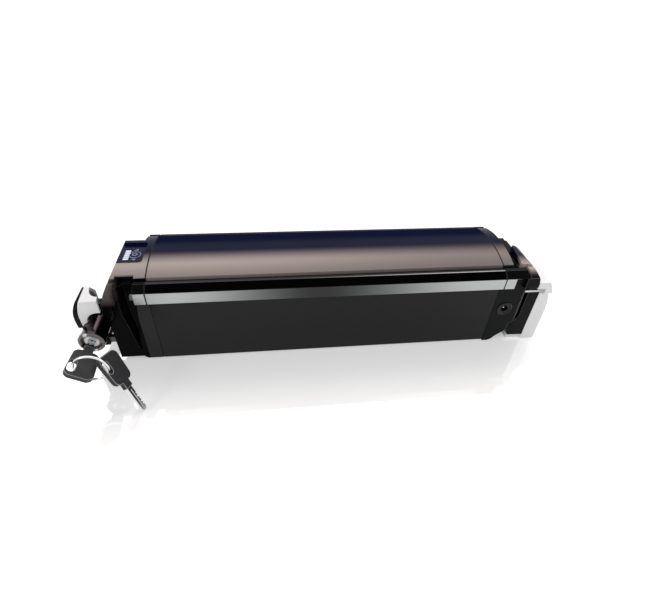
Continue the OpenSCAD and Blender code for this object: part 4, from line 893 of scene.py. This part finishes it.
def make_floor():
    """A white floor that shines by itself, with a faint mirror image."""
    data = bpy.data.meshes.new("floor")
    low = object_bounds()[0][2]
    corners = [(x * FLOOR_REACH, y * FLOOR_REACH, low) for x, y in FLOOR_CORNERS]
    data.from_pydata(corners, [], [(0, 1, 2, 3)])
    floor = add_object("floor", data)
    f = Finish("floor_white")
    seen = seen_mask(f)
    x, y = f.axis(0), f.axis(1)
    far = (x * x + y * y).math("SQRT").ramp(*FAR_WHITE)
    glow = f.mix(seen, (0, 0, 0), f.mix(far, [WHITE_FILL] * 3, (1, 1, 1)))
    f.set(Base_Color=FLOOR_WHITE, Roughness=0.5, Specular_IOR_Level=0.0,
          Emission_Color=glow, Emission_Strength=1.0)
    f.blend(MIRROR, f.node("ShaderNodeBsdfGlossy", values={"Roughness": MIRROR_ROUGHNESS}))
    data.materials.append(f.material)
    floor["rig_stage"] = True


LAMPS = (
    # name, place, aim, size, watts, colour
    ("overhead_box", (0.15, 0.58, 1.12), (0.05, -0.02, 0.08), (2.3, 0.62), 11.0,
     (1.0, 0.93, 0.90)),
    ("left_box", (-1.1, -0.75, 0.75), (-0.1, 0, 0.05), (0.5, 0.5), 3.6, (1, 1, 1)),
    ("right_box", (1.15, -0.6, 0.7), (0.15, 0, 0.05), (0.5, 0.5), 2.2, (1, 1, 1)),
)


def make_lights():
    """A white world and three soft boxes."""
    world = bpy.data.worlds.new("studio")
    bpy.context.scene.world = world
    world.use_nodes = True
    nodes = Nodes(world.node_tree)
    background = world.node_tree.nodes["Background"]
    seen = seen_mask(nodes)
    nodes.fill(background, "Strength", seen + (1 - seen) * WORLD_FILL)
    nodes.fill(background, "Color", (1, 1, 1, 1))
    for name, place, aim, size, power, colour in LAMPS:
        data = bpy.data.lights.new(name, "AREA")
        data.shape = "RECTANGLE"
        data.size, data.size_y = size
        data.energy = power
        data.color = colour
        lamp = add_object(name, data)
        lamp.location = place
        lamp.rotation_euler = (Vector(aim) - Vector(place)).to_track_quat("-Z", "Y").to_euler()


# The photograph's camera: focal length in pixels, image width in pixels, sensor in mm
FOCAL_PX = 443.181
IMAGE_W = 660
SENSOR = 36.0
CLIP_START = 0.01
CAMERA_AT = Vector((-48.517, -328.672, 301.097)) * MM
PITCH, YAW, ROLL = (math.radians(a) for a in (39.353, 9.021, 3.259))


def make_camera():
    """The photograph's camera."""
    across = math.cos(PITCH)
    forward = Vector((math.sin(YAW) * across, math.cos(YAW) * across, -math.sin(PITCH)))
    level = Vector((math.cos(YAW), -math.sin(YAW), 0))
    upward = level.cross(forward)
    right = level * math.cos(ROLL) + upward * math.sin(ROLL)
    up = upward * math.cos(ROLL) - level * math.sin(ROLL)
    data = bpy.data.cameras.new("camera")
    data.sensor_fit = "HORIZONTAL"
    data.sensor_width = SENSOR
    data.lens = FOCAL_PX * SENSOR / IMAGE_W
    data.clip_start = CLIP_START
    camera = add_object("camera", data)
    turn = Matrix((right, up, -forward)).transposed().to_4x4()
    camera.matrix_world = Matrix.Translation(CAMERA_AT) @ turn
    bpy.context.scene.camera = camera


class BATTERY_PT_panel(Panel):
    """Lists the sizes, the colours and the steps"""
    bl_label = "Battery"
    bl_idname = "BATTERY_PT_panel"
    bl_space_type = "VIEW_3D"
    bl_region_type = "UI"
    bl_category = "Battery"

    def draw(self, context):
        layout = self.layout
        for group in (context.scene.battery_sizes, context.scene.battery_colours):
            for key in group.__annotations__:
                layout.prop(group, key)
        for operator in STEPS:
            layout.operator(operator.bl_idname)


STEPS = (BATTERY_OT_finishes, BATTERY_OT_case, BATTERY_OT_cover, BATTERY_OT_caps,
         BATTERY_OT_display, BATTERY_OT_port, BATTERY_OT_cells, BATTERY_OT_electronics,
         BATTERY_OT_lock_mount, BATTERY_OT_lock, BATTERY_OT_keys, BATTERY_OT_connector,
         BATTERY_OT_stage)
CLASSES = (BatterySizes, BatteryColours, *STEPS, BATTERY_PT_panel)


def register():
    """Registers the classes and hangs the sizes and colours on the scene."""
    for cls in CLASSES:
        bpy.utils.register_class(cls)
    bpy.types.Scene.battery_sizes = PointerProperty(type=BatterySizes)
    bpy.types.Scene.battery_colours = PointerProperty(type=BatteryColours)


def unregister():
    """Takes all of it away again."""
    del bpy.types.Scene.battery_colours
    del bpy.types.Scene.battery_sizes
    for cls in reversed(CLASSES):
        bpy.utils.unregister_class(cls)


def main():
    """Runs every step."""
    register()
    bpy.context.scene.view_settings.view_transform = "Standard"
    for operator in STEPS:
        group, name = operator.bl_idname.split(".")
        getattr(getattr(bpy.ops, group), name)()


if __name__ == "__main__":
    main()
